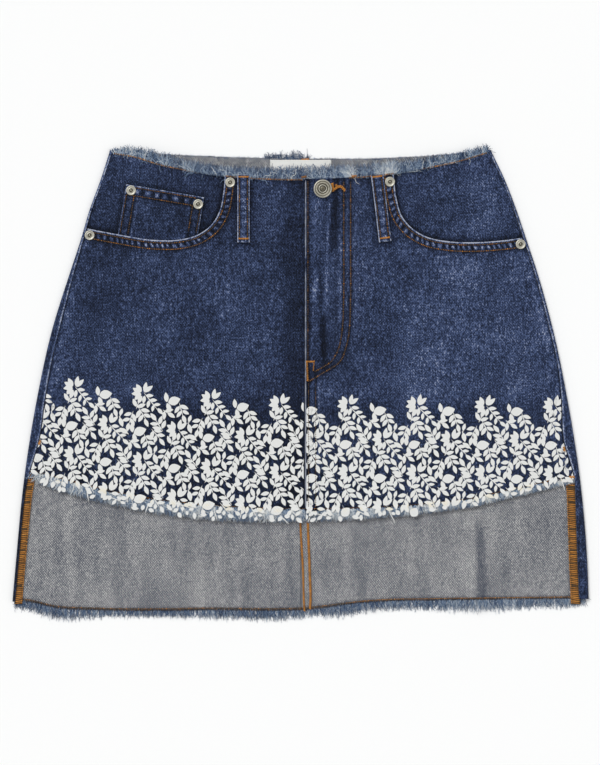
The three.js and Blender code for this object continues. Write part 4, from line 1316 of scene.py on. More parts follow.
class SKIRT_OT_stitching(bpy.types.Operator):
    """Sew every row, bar tack and the buttonhole"""

    bl_idname = "skirt.stitching"
    bl_label = "Stitching"

    def execute(self, context):
        self.edges()
        self.fly()
        self.pockets()
        self.loops()
        self.back()
        return {"FINISHED"}

    @staticmethod
    def edges():
        """One row inside the front waist edge and one inside the front hem."""
        work = Sewing()
        for first, last, seed in WAIST_ROWS:
            path = plan_path(np.linspace(first, last, 250), front_waist, -0.6)
            work.row(path, front_surface, 0.44, seed, width=1.5, lift=0.5)
        path = plan_path(np.linspace(-246.5, 248, 500), front_hem, 1.8)
        work.row(path, front_surface, 0.3, 12, height=0.3, lift=0.02)
        for start, end, tone, across in EDGE_TACKS:
            work.tack(start, end, front_surface, tone, int(start[0]) + 260, across)
        work.make("edge_stitching")

    @staticmethod
    def fly():
        """Lap edge row, two J rows, the two rows of the seam below, the bar tacks and the buttonhole."""
        work = Sewing()

        def upright(x, first, last, count):
            return np.stack([np.full(count, x), np.linspace(first, last, count)], axis=1)

        work.row(upright(5.4, 183.5, 18.5, 120), front_surface, 0.24, 21)
        for line, seed in zip(J_ROWS, (22, 23)):
            work.row(line, front_surface, 0.32, seed, width=1.3)
        for x, seed in ((6.0, 24), (12.5, 25)):
            work.row(upright(x, -2, -116.5, 110), front_surface, 0.16, seed, height=0.3, lift=0.0)
        for start, end, tone, seed, across, pitch in FLY_TACKS:
            work.tack(start, end, front_surface, tone, seed, across, pitch)
        line = path_of(BUTTONHOLE_THREAD, 1.7)
        work.strand(line, front_surface, 1.9, 0.72)
        work.strand(line + (0.4, 1.2), front_surface, 1.2, 0.62)
        work.make("fly_stitching")

    @staticmethod
    def pockets():
        """Two rows along each pocket edge, and the rows of the coin pocket."""
        work = Sewing()
        for side in SIDES:
            edge = MOUTH[side]
            keep = (side_distance(*edge.T) > 3) & (edge[:, 1] < front_waist(edge[:, 0]) - 2)
            for distance, seed, tone in ((2.5, 31, 0.32), (8.4, 33, 0.42)):
                row = beside(edge, -SIGN[side] * distance)[keep]
                work.row(row, front_surface, tone, seed + (side == "right"), width=1.2, lift=0.34)
        width = COIN["width"]
        for down, start, seed in ((1.9, 6, 35), (9.2, 1.5, 36)):
            along = np.linspace(start, width - start, 60)
            work.row(np.stack(coin_point(along, down), axis=1), coin_top, 0.38, seed, lift=0.4)
        for inset, left_seed in ((1.7, 37), (9.0, 38)):
            for along, last, count, seed in (
                (inset, 46, 60, left_seed), (width - inset, 34.5, 50, left_seed + 4),
            ):
                path = np.stack(coin_point(along, np.linspace(9.5, last, count)), axis=1)
                work.row(path, coin_top, 0.28, seed, lift=0.3)
        work.make("pocket_stitching")

    @staticmethod
    def loops():
        """Two rows down each belt loop and a bar tack at each end."""
        work = Sewing()
        reach = LOOP["length"] / 2
        for side, (middle_x, middle_y, degrees) in BELT_LOOPS.items():
            axis = (middle_x, middle_y, math.radians(degrees))

            def loop_top(x, y, axis=axis):
                share = np.clip(turned(x, y, *axis)[1] / LOOP["length"] + 0.5, 0, 1)
                return loop_underside(x, y, share) + LOOP["thick"]

            for offset, seed in ((-3.7, 41), (3.7, 42)):
                path = np.stack(placed(offset, np.linspace(-reach + 3.5, reach - 3, 60), *axis), axis=1)
                work.row(path, loop_top, 0.26, seed + (side == "right") * 4, lift=0.0, width=1.3)
            for end in (-reach + 3.4, reach - 1.4):
                work.tack(placed(-4.6, end, *axis), placed(4.6, end, *axis), loop_top, 0.68, 45, across=1.9)
        work.make("loop_stitching")

    @staticmethod
    def back():
        """Rows inside the back hem, the chain rows of the centre back seam, and a tack behind the waist."""
        work = Sewing()
        for first, last, count, offset, tone, seed, width, lift in BACK_HEM_ROWS:
            path = plan_path(np.linspace(first, last, count), back_hem, offset)
            work.row(path, back_inner_top, tone, seed, width, lift=lift)
        for points, width, seed in BACK_CHAINS:
            work.chain(path_of(points), back_inner_top, 0.62, seed, width)
        work.tack((-0.5, 203.6), (6.5, 204.4), back_inner_top, 0.7, 54, across=2.6)
        work.make("back_stitching")


class SKIRT_OT_overlock(bpy.types.Operator):
    """Make the overlocked seam allowances inside the side folds"""

    bl_idname = "skirt.overlock"
    bl_label = "Overlocked allowances"

    def execute(self, context):
        shape = 9, 60
        s, t = net_shares(*shape)
        for side in SIDES:
            y = mix(OVERLOCK["bottom"], OVERLOCK["top"], t)
            x = fold_x[side](y) - SIGN[side] * (overlock_inset[side](y) + OVERLOCK[side] * s)
            low, top, wear = (np.full_like(x, value) for value in (CLOTH + PLY_GAP, OVERLOCK_TOP, 0.2))
            name = f"side_overlock_{side}"
            piece = cloth_net(f"{name}_cloth", shape, x, y, top, low, wear, [look("topstitch")] * 3)
            dressed(piece, name, slot="thread")
            self.loops(side, name)
        return {"FINISHED"}

    @staticmethod
    def loops(side, name):
        """Slanting loops across the allowance, and a chain along its inner edge."""
        sign = SIGN[side]
        rng = np.random.default_rng(81)
        y = np.arange(OVERLOCK["bottom"] + 0.6, OVERLOCK["top"] - 1, 1.75)
        outside = fold_x[side](y) - sign * (overlock_inset[side](y) + 0.2)
        inside = outside - sign * (OVERLOCK[side] - 0.3)
        z = np.full_like(y, OVERLOCK_TOP + 0.02)
        slant = y + 0.9 + rng.uniform(-0.3, 0.3, len(y))
        starts = np.vstack([xyz(outside, y, z), xyz(inside, y, z)])
        ends = np.vstack([xyz(inside, slant, z), xyz(inside, y + 1.4, z)])
        tones = 0.68 + rng.uniform(-0.14, 0.14, len(starts)) - 0.26 * (rng.random(len(starts)) < 0.1)
        widths = np.repeat([1.05, 1.2], len(y))
        dressed(sew(f"{name}_loops", starts, ends, widths, 0.55, tones), slot="thread")


# Raised edges


def roll(name, path, radius, tone, seed):
    """Worn folded edge: a low half round that follows a path, its wear broken up along it."""
    sides = 7
    count = len(path)
    angles = np.linspace(-0.15, math.pi + 0.15, sides)
    run = np.gradient(path, axis=0)
    run /= np.linalg.norm(run, axis=1)[:, None]
    across = xyz(-run[:, 1], run[:, 0], 0 * run[:, 0])
    s = np.arange(count)
    size = radius * np.clip(np.minimum(s, s[::-1]) / 3, 0.15, 1)
    ring = (
        across[:, None] * np.cos(angles)[None, :, None]
        + np.array([0, 0, 0.8])[None, None] * np.sin(angles)[None, :, None]
    )
    points = (path[:, None] + ring * size[:, None, None]).reshape(-1, 3)
    wear = np.repeat(tone + 0.1 * np.sin(s * 0.5 + 1.5 * np.sin(s * 0.13 + seed)), sides)
    piece = new_mesh(name, points, tube_faces(count, sides), [look("roll")], values={"wear": wear})
    dressed(piece, slot="denim")


# Shape and painted shade across a pocket's turned hem: distance from its edge, width, strength
POCKET_HEM_RISE = ((0.7, 0.8, 0.3), (0, 0.3, -0.3), (1.9, 0.6, -0.14), (8.4, 0.7, -0.1))
# The shade is painted: dark in the stitch grooves and at the hem's edge, a little darker between the rows
POCKET_HEM_PAINTED_SHADE = ((5.1, 3, -0.06), (2.4, 0.9, -0.42), (8.4, 1.0, -0.34), (10.2, 0.8, -0.14))


class SKIRT_OT_worn_edges(bpy.types.Operator):
    """Make the turned hems along the pocket edges and the worn edge of the fly lap"""

    bl_idname = "skirt.worn_edges"
    bl_label = "Worn edges"

    def execute(self, context):
        for side in SIDES:
            self.pocket_hem(side)
        y = np.linspace(184.5, -117, 300)
        lap = np.stack([np.full_like(y, CENTRE_FRONT + 0.55), y], axis=1)
        roll("fly_edge", on_top(lap, right_front_top, -0.12), 0.62, 0.38, 3)
        return {"FINISHED"}

    @staticmethod
    def pocket_hem(side):
        """Turned hem: worn rim, a groove at each stitch row, puckers between; painted shade in grooves and
        at its edge.
        """
        top = left_front_top if side == "left" else right_front_top
        edge = MOUTH[side]
        line = edge[(side_distance(*edge.T) > 1) & (edge[:, 1] < front_waist(edge[:, 0]) - 0.5)]
        out = -SIGN[side]
        depths = np.concatenate([np.arange(0, 3, 0.4), np.arange(3, 10.3, 0.6)])
        plan = np.stack([beside(line, out * depth) for depth in depths], axis=1)
        x, y = plan[..., 0], plan[..., 1]
        depth = np.broadcast_to(depths, x.shape)
        along = np.broadcast_to(np.arange(len(line))[:, None] + 0.4 * out * depths, x.shape)
        spots = np.sin(along * math.tau / 5.3 + 1.1 * np.sin(along * 0.19)) * near(depth, 5.1, 2.2)
        rise = 0.3 * (1 - smooth(9.2, 10.2, depth)) + 0.14 * spots + bands(depth, POCKET_HEM_RISE)
        # Puckers, a worn rim, and painted shade in the grooves and at the hem's edge
        wear = fade_and_fly_shadow(x, y) + 0.42 * spots + 0.04 * ripple(x, y, 6, 38) + bands(depth, POCKET_HEM_PAINTED_SHADE)
        wear += (0.58 + 0.14 * ripple(x, y, 7, 39)) * near(depth, 0.4, 1.05)
        outer, inner = (xyz(x, y, top(x, y) + lift).reshape(-1, 3) for lift in (rise, -0.3))
        piece = cloth_shell(
            f"pocket_hem_{side}", outer, inner, grid_faces(*x.shape), denim_looks(), wear.ravel(),
        )
        dressed(piece, slot="denim")


# Fray


def fibres(name, roots, heading, lengths, tones, curl, radius, floor, seed):
    """Loose yarn ends as one mesh of thin three-sided tubes.

    Each end walks from its root in even steps. Its heading wanders by a random turn at each step, and
    its height by a smaller one, never below floor(x, y).
    """
    sides, rings = 3, 5
    rng = np.random.default_rng(seed)
    count = len(roots)
    steps = lengths[:, None] / (rings - 1)
    turns = rng.normal(0, 1, (count, rings - 1)) * curl[:, None]
    angle = heading[:, None] + np.cumsum(turns, axis=1)
    start = np.zeros((count, 1))
    x = roots[:, :1] + np.concatenate([start, np.cumsum(np.cos(angle) * steps, axis=1)], axis=1)
    y = roots[:, 1:2] + np.concatenate([start, np.cumsum(np.sin(angle) * steps, axis=1)], axis=1)
    wander = np.cumsum(rng.normal(0, 0.1, (count, rings)), axis=1)
    z = np.maximum(roots[:, 2:] + wander, floor(x, y) + radius[:, None])
    line = xyz(x, y, z)
    run = np.gradient(line, axis=1)
    run /= np.linalg.norm(run, axis=2)[..., None] + 1e-9
    across = xyz(-run[..., 1], run[..., 0], 0 * run[..., 0])
    across /= np.linalg.norm(across, axis=2)[..., None] + 1e-9
    up = np.cross(run, across)
    taper = np.linspace(1.0, 0.55, rings)[None, :, None, None] * radius[:, None, None, None]
    angles = np.arange(sides) * math.tau / sides + 0.4
    ring = across[:, :, None] * np.cos(angles)[:, None] + up[:, :, None] * np.sin(angles)[:, None]
    points = (line[:, :, None] + ring * taper).reshape(-1, 3)
    faces = repeated(tube_faces(rings, sides), count, rings * sides)
    return new_mesh(name, points, faces, [look("yarn")], values={"wear": np.repeat(tones, rings * sides)})


# Fray length along each raw edge: across, length
FRAY = {
    "front_hem": np.array([
        (-250, 8.5), (-225, 10.5), (-190, 11), (-90, 12.5), (-10, 11), (74, 8.6), (149, 6.4),
        (200, 6.2), (252, 5),
    ]),
    "back_hem": np.array([
        (-267, 7.5), (-245, 9.5), (-215, 11), (-200, 8.6), (-175, 6.2), (-120, 6.4), (-90, 8.4),
        (-20, 9.4), (6, 7.4), (40, 11.4), (62, 8.4), (110, 8.6), (133, 10.4), (180, 11.4), (205, 9),
        (225, 8.6), (240, 9.6), (266, 6),
    ]),
    "front_waist": np.array([
        (-178, 3), (-170, 5), (-163, 8), (-140, 12), (-106, 10.5), (-65, 9.5), (-30, 11.5), (4, 13.5),
        (40, 13), (86, 12), (100, 10.5), (143, 8.4), (158, 7.4), (174, 7.2),
    ]),
    "back_waist": np.array([
        (-178, 0.6), (-36, 0.6), (-31, 6.5), (-12, 8.2), (3, 9.4), (7, 0.6), (174, 0.6),
    ]),
}


class SKIRT_OT_fray(bpy.types.Operator):
    """Fray the waist and hem edges into loose yarn ends"""

    bl_idname = "skirt.fray"
    bl_label = "Fray"

    def execute(self, context):
        def over_back(x, y):
            return back_inner_top(x, y) + 0.2

        front = {"surface": front_top, "floor": over_back, "radius": (0.2, 0.36)}
        back = {"surface": self.back_edge, "floor": self.ground}
        self.edge(
            "front_hem", "fringe_front_hem", (-248, 249), 4000, front_hem, -1, seed=101, curl=0.45,
            layers=(-1.1, 0.2), tone=self.hem_tone, shade=0.2, least=0.84, **front,
        )
        self.edge(
            "back_hem", "fringe_back_hem", (-264, 261.5), 3300, back_hem, -1, seed=102, curl=0.3,
            radius=(0.14, 0.24), layers=(-1.0, 0.1), tone=self.back_tone, shade=0.24, **back,
        )
        for half, span, seed in (("left", (-173.4, 2.4), 103), ("right", (3.2, 171.5), 104)):
            self.edge(
                "front_waist", f"fringe_front_waist_{half}", span, 2000, front_waist, 1, seed=seed,
                curl=0.62, layers=(-1.1, 0.3), tone=self.waist_tone, shade=0.42, least=0.62, **front,
            )
        self.edge(
            "back_waist", "fringe_back_waist", (-175, 171), 1300, back_waist, 1, seed=105, curl=0.9,
            radius=(0.16, 0.28), layers=(-0.9, 0.2), tone=self.back_waist_tone, shade=0.2, **back,
        )
        return {"FINISHED"}

    @staticmethod
    def back_edge(x, y):
        """Inner face of the back cloth, from which its fray starts."""
        return CLOTH + back_lift(x, y)

    @staticmethod
    def ground(x, y):
        """Yarn ends of the back stay just above the floor."""
        return np.full(np.broadcast(x, y).shape, 0.08)

    @staticmethod
    def lock_wave(x):
        """Yarn ends gather into locks about 6 mm apart."""
        return np.sin(x * math.tau / 6.0 + 1.7 * np.sin(x / 11.0))

    @staticmethod
    def hem_tone(x, rng):
        """Pale blue and white, with printed white patches along the edge."""
        patch = smooth(-0.1, 0.5, ripple(x, 0 * x, 6, 111))
        return 0.56 + 0.4 * patch + rng.normal(0, 0.09, len(x))

    @staticmethod
    def back_tone(x, rng):
        """Mid blue, a little paler towards the right."""
        return 0.44 + 0.1 * smooth(0, 200, x) + rng.normal(0, 0.15, len(x))

    @staticmethod
    def waist_tone(x, rng):
        """Blue, with white yarn fluff in three places."""
        white = 0.4 * near(x, 79, 9) + 0.14 * near(x, -170, 12) + 0.36 * near(x, 43, 5)
        return 0.51 + white + 0.2 * ripple(x, 0 * x, 3, 113) + rng.normal(0, 0.18, len(x))

    @staticmethod
    def back_waist_tone(x, rng):
        """Dark blue ends at the middle of the back waist."""
        return 0.3 + 0.1 * ripple(x, 0 * x, 6, 114) + rng.normal(0, 0.12, len(x))

    def edge(self, key, node, span, count, edge_of, away, surface, floor, seed, curl, radius, layers, tone,
             shade, least=0.45):
        """Yarn ends rooted just inside one raw edge, pointing away from the cloth, low ones in painted
        shade.
        """
        rng = np.random.default_rng(seed)
        x = rng.uniform(*span, count)
        lock = self.lock_wave(x)
        lean = 0.45 * lock + rng.normal(0, 0.22, len(x))
        length = np.interp(x, *FRAY[key].T) * rng.uniform(least, 1.1, count) ** 0.8
        length *= 1 + 0.3 * (1 - least) * lock
        y = edge_of(x) - away * rng.uniform(0.2, 1.6, count)
        depth = rng.random(count)
        roots = xyz(x, y, surface(x, y) + mix(*layers, depth))
        piece = fibres(
            f"{node}_yarn", roots, away * math.pi / 2 + lean * 0.6, length + 1.2,
            np.clip(tone(x, rng) - shade * (1 - depth), 0.02, 0.98), curl * rng.uniform(0.6, 1.2, count),
            rng.uniform(*radius, count), floor, seed,
        )
        dressed(piece, node, slot="fray")


# Print


TILE = (63.0, 31.0)
# Size of a cell in the map of printed places, and the share of the cloth that is printed
GRAIN = 0.7
COVERAGE = 0.56
# Shift of the first tile from the middle and from the band's upper edge
TILE_SHIFT = (-34, -21)
# Groups that lead up over the edge, and how far the middle of a group may stand above it
LEADING = 2
OVER_EDGE = {"lead": 4, "rest": -5}
# Ways in which stems point, in degrees
STEM_TURNS = (-52, -52, 128, 74, -106)
# Sprigs that are tried in turn: pairs of leaves, length of the stem, size of the leaves, number of trials
SPRIGS = (
    (2, 11.5, 0.8, 500), (1, 6.5, 0.92, 900), (1, 5, 0.8, 1200), (0, 1, 0.86, 1200), (0, 0.8, 0.64, 900),
)


def leaf_width(s):
    """Half width of a leaf of width 1 at a share s of its length: 0.5 sin(pi s^0.88)^0.85."""
    return 0.5 * np.abs(np.sin(math.pi * np.clip(s, 0, 1) ** 0.88)) ** 0.85


def fan(x, y, angles, length, ratio):
    """Leaves that spread from one point, each at its own angle. Rows: x, y, turn, length, width."""
    turns = np.radians(angles)
    reach = 0.57 * length
    return [(x + reach * math.cos(t), y + reach * math.sin(t), t, length, length * ratio) for t in turns]


def sprig(x, y, degrees, length, pairs, leaf, bend):
    """Leaves in pairs along a curved stem, with one at its tip."""
    turn, bow = math.radians(degrees), math.radians(bend)
    rows = []
    for k in range(pairs):
        share = (k + 0.5) / (pairs + 0.3)
        way = turn + bow * share / 2
        node = x + length * share * math.cos(way), y + length * share * math.sin(way)
        along = degrees + bend * share
        rows += fan(*node, (along + 46, along - 52), leaf * (1.0 - 0.08 * k), 0.47)
    way = turn + bow / 2
    rows += fan(x + length * math.cos(way), y + length * math.sin(way), (degrees + bend,), leaf, 0.48)
    stem = length + 3
    rows.append((x + stem / 2 * math.cos(way), y + stem / 2 * math.sin(way), way, stem, 0.95))
    return rows


def spray(x, y, leaf):
    """Close leaves on one side, two slender ones beside them, and a stem that falls to the right."""
    close = fan(x - 1.6, y, (118, 152, 188, 228), leaf * 0.82, 0.52)
    return close + fan(x + 0.8, y, (76, 40), leaf * 0.92, 0.42) + sprig(x, y, -52, 19, 3, leaf * 0.72, 8)


class Tile:
    """Map of the places that are printed in a repeat, which holds the tile and its half-dropped copy."""

    def __init__(self):
        self.size = np.array([TILE[0], 2 * TILE[1]])
        self.count = (self.size / GRAIN).astype(int)
        self.taken = np.zeros(self.count, bool)
        centres = ((np.arange(n) + 0.5) * size / n for n, size in zip(self.count, self.size))
        self.x, self.y = np.meshgrid(*centres, indexing="ij")

    def is_free(self, group, grow, limit):
        """Whether less than a limit of the group's leaves, grown by a margin, lies on taken places."""
        hits = []
        for x, y, turn, length, width in group:
            s = np.linspace(0.04, 0.96, max(int(length), 3))[:, None]
            a = (s - 0.5) * (length + 2 * grow)
            b = np.linspace(-1, 1, 5) * (width * leaf_width(s) + grow)
            place_x, place_y = placed(a, b, x, y, turn)
            cells = tuple(
                (place / size % 1 * count).astype(int)
                for place, size, count in zip((place_x, place_y), self.size, self.count)
            )
            hits.append(self.taken[cells].ravel())
        return np.concatenate(hits).mean() < limit

    def take(self, group):
        """Marks the places of a group and of its half-dropped copy."""
        for x, y, turn, length, width in group:
            for shift_x, shift_y in ((0, 0), (TILE[0] / 2, -TILE[1])):
                dx = (self.x - x - shift_x + self.size[0] / 2) % self.size[0] - self.size[0] / 2
                dy = (self.y - y - shift_y + self.size[1] / 2) % self.size[1] - self.size[1] / 2
                along, across = turned(dx, dy, 0, 0, turn)
                s = along / length + 0.5
                self.taken |= (s > 0) & (s < 1) & (np.abs(across) < width * leaf_width(s))


def print_repeat(leaf):
    """Sprays and sprigs of one repeat, packed by trial up to the coverage. The first two groups lead."""
    rng = np.random.default_rng(94)
    tile = Tile()
    groups = []

    def add(group):
        tile.take(group)
        groups.append(np.array(group))

    add(spray(14, 24, leaf))
    add(fan(36, 17, (14,), leaf * 1.15, 0.7) + fan(36, 17, (98, -70), leaf * 0.84, 0.48))
    for pairs, length, size, tries in SPRIGS:
        for _ in range(tries):
            x, y = rng.uniform(0, tile.size)
            degrees = rng.choice(STEM_TURNS) + rng.uniform(-16, 16)
            grown = leaf * size * rng.uniform(0.94, 1.06)
            group = sprig(x, y, degrees, length, pairs, grown, rng.uniform(-16, 16))
            if tile.taken.mean() < COVERAGE and tile.is_free(group, grow=0.4, limit=0.08):
                add(group)
    return groups


class SKIRT_OT_leaf_print(bpy.types.Operator):
    """Print the band of white leaves above the front hem"""

    bl_idname = "skirt.leaf_print"
    bl_label = "Leaf print"

    def execute(self, context):
        rng = np.random.default_rng(91)
        groups = []
        for number, part in enumerate(print_repeat(sizes().leaf)):
            for line in range(-1, 6):
                for column in range(-6, 6):
                    copy = part.copy()
                    drop = TILE_SHIFT[1] - TILE[1] * line
                    copy[:, 0] += TILE[0] * (column + 0.5 * (line % 2)) + TILE_SHIFT[0]
                    copy[:, 1] += self.top(copy[:, 0].mean()) + drop
                    if part[:, 1].mean() + drop < OVER_EDGE["lead" if number < LEADING else "rest"]:
                        groups.append(copy)
        rows = np.vstack(groups)
        rows[:, 2] += rng.uniform(-0.1, 0.1, len(rows))
        rows[:, 3:] *= rng.uniform(0.95, 1.05, (len(rows), 1))
        fray = np.interp(rows[:, 0], *FRAY["front_hem"].T)
        above = rows[:, 1] - front_hem(rows[:, 0])
        keep = (above > 1.8 - fray) & (side_distance(rows[:, 0], rows[:, 1]) > 0)
        on_fray = above < -1
        rows[:, 2] += np.where(on_fray, rng.uniform(-0.7, 0.7, len(rows)), 0)
        rows[:, 3] *= np.where(on_fray, rng.uniform(0.6, 0.95, len(rows)), 1)
        dressed(self.make(rows[keep], rng), slot="print")
        return {"FINISHED"}

    @staticmethod
    def top(x):
        """Upper edge of the band, which sinks from left to right."""
        return -6 - 19 * smooth(-270, 20, x) - 1 * smooth(60, 250, x)

    @staticmethod
    def make(rows, rng):
        """Each leaf is a thin plate: an outline turned and scaled in plan, laid on the front cloth.

        A leaf stays on its own side of the fly edge and inside the side seams. Below the hem it lies on the
        fray, and one that crosses the hem stitching is cream.
        """
        s = np.array([0.0, 0.07, 0.22, 0.42, 0.64, 0.85, 1.0])
        upper = np.stack([s - 0.5, leaf_width(s)], axis=1)
        outline = np.vstack([upper[::-1], upper[1:-1] * (1, -1)])
        count = len(outline)
        plan = np.vstack([outline, [(0.0, 0.0)]])
        middle_x, middle_y, turn, length, width = (column[:, None] for column in rows.T)
        along, across = plan[None, :, 0] * length, plan[None, :, 1] * width
        x = middle_x + along * np.cos(turn) - across * np.sin(turn)
        y = middle_y + along * np.sin(turn) + across * np.cos(turn)
        on_right = middle_x > CENTRE_FRONT
        x = np.where(on_right, np.maximum(x, CENTRE_FRONT + 0.9), np.minimum(x, 1.6))
        x = np.clip(x, seam_x("left", y) + 1, seam_x("right", y) - 1)
        slope = near(x - CENTRE_FRONT, 15, 4) * 0.12 + 0.75 * smooth(3.2, 0.4, y - front_hem(x))
        height = np.where(on_right, right_front_top(x, y), left_front_top(x, y))
        height = height + SKIRT_OT_front.relief(x, y) + slope
        top = xyz(x, y, height + 0.12 + rng.uniform(0, 0.05, (len(rows), 1)))
        points = np.concatenate([top, top - (0, 0, INK_THICK)], axis=1)
        here = np.arange(count)
        after = (here + 1) % count
        low = count + 1
        sides = np.stack([here + low, after + low, after, here], axis=1)
        tops = np.stack([here, after, np.full(count, count)], axis=1)
        bases = np.stack([after + low, here + low, np.full(count, count + low)], axis=1)
        faces = repeated([sides, np.vstack([tops, bases])], len(rows), points.shape[1])
        flat = points.reshape(-1, 3)
        wear = SKIRT_OT_leaf_print.wear(flat[:, 0], flat[:, 1])
        return new_mesh("leaf_print_ink", flat, faces, [look("ink")], values={"wear": wear}, even=False)

    @staticmethod
    def wear(x, y):
        """Ink is worn at the side seams and beside the fly, and cream in patches along the hem."""
        patch = 1 + ripple(x, y, 9, 92)
        worn = 0.2 * near(side_distance(x, y), 3, 10) * patch + 0.24 * near(x, 9, 6) * (x > 2) * patch
        cream = 0.4 * near(y - front_hem(x), 0.4, 2.6) * smooth(-0.4, 0.6, ripple(x, 0 * x, 14, 93))
        return 0.56 - worn + cream


# Metal trim


def lathe(name, profile, centre, segments, relief=None):
    """Rows of (radius, height, wear) turned round Z. relief(radius, angle) adds height to the points."""
    profile = np.array(profile, float)
    angles = np.arange(segments) * math.tau / segments
    radius, height = profile[1:-1, 0], profile[1:-1, 1]
    z = np.repeat(height[:, None], segments, axis=1)
    if relief:
        z = z + relief(radius[:, None], angles[None, :])
    points = xyz(radius[:, None] * np.cos(angles), radius[:, None] * np.sin(angles), z).reshape(-1, 3)
    points = np.vstack([points, [(0, 0, profile[0, 1]), (0, 0, profile[-1, 1])]]) + np.array(centre)
    rings = len(radius)
    here = np.arange(segments)
    after = (here + 1) % segments
    low = rings * segments
    last = low - segments
    tris = np.vstack([
        np.stack([after, here, np.full(segments, low)], axis=1),
        np.stack([here + last, after + last, np.full(segments, low + 1)], axis=1),
    ])
    wear = np.concatenate([np.repeat(profile[1:-1, 2], segments), profile[[0, -1], 2]])
    faces = [ring_quads(rings, segments), tris]
    return new_mesh(name, points, faces, [look("worn_metal")], values={"wear": wear})


def seat_of(node):
    """Middle of a CAD node's underside, in millimetres."""
    low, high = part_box(node)
    return [(low[0] + high[0]) / 2 / METRES, (low[1] + high[1]) / 2 / METRES, low[2] / METRES]


class SKIRT_OT_metal_trim(bpy.types.Operator):
    """Make the tack button and the rivets"""

    bl_idname = "skirt.metal_trim"
    bl_label = "Metal trim"

    def execute(self, context):
        for node in sorted(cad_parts):
            if node.startswith("rivet_"):
                dressed(self.rivet(node), node, slot="metal")
        dressed(self.button(), "waist_button", slot="metal")
        return {"FINISHED"}

    @staticmethod
    def rivet(node):
        """Rivet cap: a rolled rim, a shallow dish and a centre nipple in a ring."""
        profile = [
            (0, 0, 0.3), (4.1, 0, 0.2), (4.5, 0.25, 0.3), (RIVET_RADIUS, 0.6, 0.42), (4.5, 1.0, 0.6),
            (4.15, 1.25, 0.78), (3.7, 1.2, 0.74), (3.35, 1.0, 0.6), (2.9, 0.9, 0.66), (2.3, 0.92, 0.62),
            (2.0, 1.1, 0.56), (1.7, 1.15, 0.3), (1.4, 0.8, 0.06), (1.05, 0.85, 0.1), (0.8, 1.25, 0.5),
            (0.45, 1.5, 0.6), (0, 1.5, 0.3),
        ]
        return lathe(f"{node}_metal", profile, seat_of(node), 40)

    @staticmethod
    def button():
        """Tack button: post, domed head with a rolled rim, a beaded ring and a raised centre."""
        profile = [
            (0, 0, 0.3), (3.2, 0, 0.3), (3.4, 0.3, 0.3), (3.4, 1.35, 0.2), (5.5, 1.5, 0.2), (7.6, 1.7, 0.2),
            (8.2, 2.0, 0.3), (BUTTON_RADIUS, 2.55, 0.45), (8.4, 3.1, 0.6), (8.05, 3.5, 0.72),
            (7.6, 3.7, 0.68), (7.2, 3.62, 0.5), (6.95, 3.35, 0.25), (6.6, 3.3, 0.3), (6.2, 3.42, 0.5),
            (5.7, 3.5, 0.56),
            (5.2, 3.45, 0.5), (4.8, 3.3, 0.34), (4.4, 3.15, 0.12), (4.1, 3.2, 0.08), (3.8, 3.5, 0.5),
            (3.5, 3.7, 0.8), (3.2, 3.6, 0.66), (2.9, 3.3, 0.2), (2.5, 3.15, 0.08), (2.2, 3.25, 0.2),
            (1.9, 3.6, 0.45), (1.4, 3.75, 0.34), (0.7, 3.8, 0.24), (0, 3.82, 0.24),
        ]

        def beads(radius, angle):
            return 0.16 * near(radius, 5.8, 0.55) * np.cos(angle * 26)

        return lathe("waist_button_metal", profile, seat_of("waist_button"), 104, beads)


# Stage


PHOTO_SIZE = (600, 765)
PIXEL = 0.92
ORIGIN_PIXEL = (302, 381)


class SKIRT_OT_stage(bpy.types.Operator):
    """Set the floor, the soft light and the camera straight above"""

    bl_idname = "skirt.stage"
    bl_label = "Stage"

    def execute(self, context):
        self.floor()
        self.light("key_light", (-0.55, 0.75, 1.0), 1.9, 28)
        self.light("fill_light", (0.7, -0.2, 1.0), 0.5, 60)
        world = bpy.context.scene.world or bpy.data.worlds.new("studio")
        bpy.context.scene.world = world
        world.use_nodes = True
        world.node_tree.nodes["Background"].inputs["Color"].default_value = (1, 1, 1, 1)
        world.node_tree.nodes["Background"].inputs["Strength"].default_value = 0.46
        bpy.context.scene.view_settings.view_transform = "Standard"
        self.camera()
        return {"FINISHED"}

    @staticmethod
    def floor():
        """Paper that lies just below the part and reaches far past the picture."""
        half, height = 1800.0, -0.05
        corners = np.array([(x * half, y * half, height) for x, y in ((-1, -1), (1, -1), (1, 1), (-1, 1))])
        paper = bpy.data.materials.new("paper")
        paper.use_nodes = True
        shader = paper.node_tree.nodes["Principled BSDF"]
        shader.inputs["Base Color"].default_value = (0.95, 0.955, 0.953, 1)
        shader.inputs["Roughness"].default_value = 0.9
        shader.inputs["Specular IOR Level"].default_value = 0.1
        new_mesh("floor", corners, [np.array([[0, 1, 2, 3]])], [paper])

    @staticmethod
    def light(name, direction, strength, spread):
        """Sun of a wide angle, so its shadows are soft and its light even."""
        lamp = bpy.data.lights.new(name, "SUN")
        lamp.energy = strength
        lamp.angle = math.radians(spread)
        thing = bpy.data.objects.new(name, lamp)
        bpy.context.scene.collection.objects.link(thing)
        x, y, z = direction
        thing.rotation_euler = (math.atan2(math.hypot(x, y), z), 0, math.atan2(x, -y))

    @staticmethod
    def camera():
        """Long lens straight above. The frame's long side spans 765 pixels at the cloth's height."""
        data = bpy.data.cameras.new("camera")
        camera = bpy.data.objects.new("camera", data)
        bpy.context.scene.collection.objects.link(camera)
        data.lens = 85
        data.sensor_width = 36
        width, height = PHOTO_SIZE
        x = (width / 2 - ORIGIN_PIXEL[0]) * PIXEL
        y = (ORIGIN_PIXEL[1] - height / 2) * PIXEL
        distance = height * PIXEL / 2 / (data.sensor_width / 2 / data.lens)
        camera.location = (x * METRES, y * METRES, (distance + SHEET_TOP) * METRES)
        data.clip_start = 0.05
        data.clip_end = 20
        bpy.context.scene.camera = camera


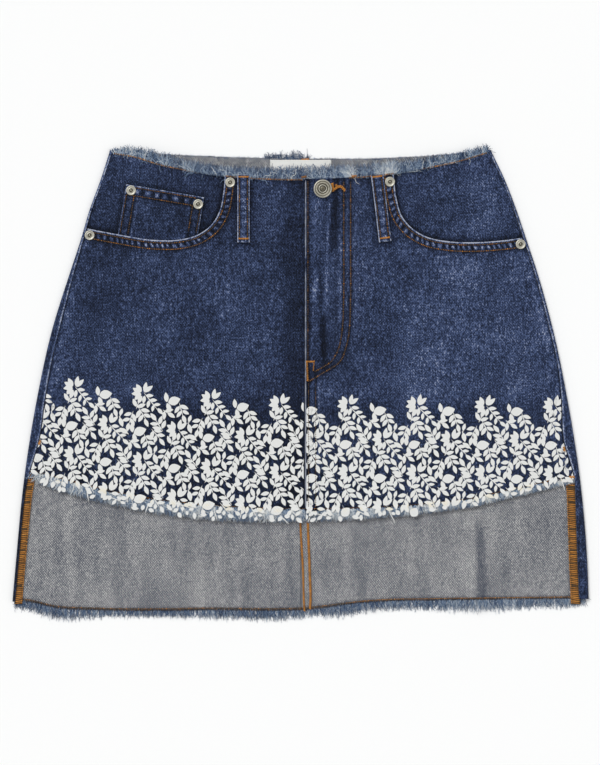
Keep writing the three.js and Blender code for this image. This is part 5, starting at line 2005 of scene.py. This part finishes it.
class SKIRT_PT_panel(bpy.types.Panel):
    """Sidebar panel with the skirt's sizes, colours and steps"""

    bl_idname = "SKIRT_PT_panel"
    bl_label = "Laid denim skirt"
    bl_space_type = "VIEW_3D"
    bl_region_type = "UI"
    bl_category = "Skirt"

    def draw(self, context):
        column = self.layout.column()
        for group in (context.scene.skirt_sizes, context.scene.skirt_colours):
            for key in group.bl_rna.properties.keys():
                if key not in ("rna_type", "name"):
                    column.prop(group, key)
        for step in STEPS:
            column.operator(step.bl_idname)


STEPS = (
    SKIRT_OT_looks, SKIRT_OT_back, SKIRT_OT_front, SKIRT_OT_facings, SKIRT_OT_coin_pocket, SKIRT_OT_fly,
    SKIRT_OT_belt_loops, SKIRT_OT_label, SKIRT_OT_overlock, SKIRT_OT_stitching, SKIRT_OT_worn_edges,
    SKIRT_OT_fray, SKIRT_OT_leaf_print, SKIRT_OT_metal_trim, SKIRT_OT_stage,
)
CLASSES = (SkirtColours, SkirtSizes, *STEPS, SKIRT_PT_panel)


def register():
    """Adds the classes and the two groups of settings to Blender."""
    for entry in CLASSES:
        bpy.utils.register_class(entry)
    bpy.types.Scene.skirt_sizes = bpy.props.PointerProperty(type=SkirtSizes)
    bpy.types.Scene.skirt_colours = bpy.props.PointerProperty(type=SkirtColours)


def unregister():
    """Takes them away again."""
    del bpy.types.Scene.skirt_colours
    del bpy.types.Scene.skirt_sizes
    for entry in reversed(CLASSES):
        bpy.utils.unregister_class(entry)


def main():
    """Dresses the part and sets the stage."""
    register()
    bpy.ops.skirt.looks()
    bpy.ops.skirt.back()
    bpy.ops.skirt.front()
    bpy.ops.skirt.facings()
    bpy.ops.skirt.coin_pocket()
    bpy.ops.skirt.fly()
    bpy.ops.skirt.belt_loops()
    bpy.ops.skirt.label()
    bpy.ops.skirt.overlock()
    bpy.ops.skirt.stitching()
    bpy.ops.skirt.worn_edges()
    bpy.ops.skirt.fray()
    bpy.ops.skirt.leaf_print()
    bpy.ops.skirt.metal_trim()
    bpy.ops.skirt.stage()


if __name__ == "__main__":
    main()
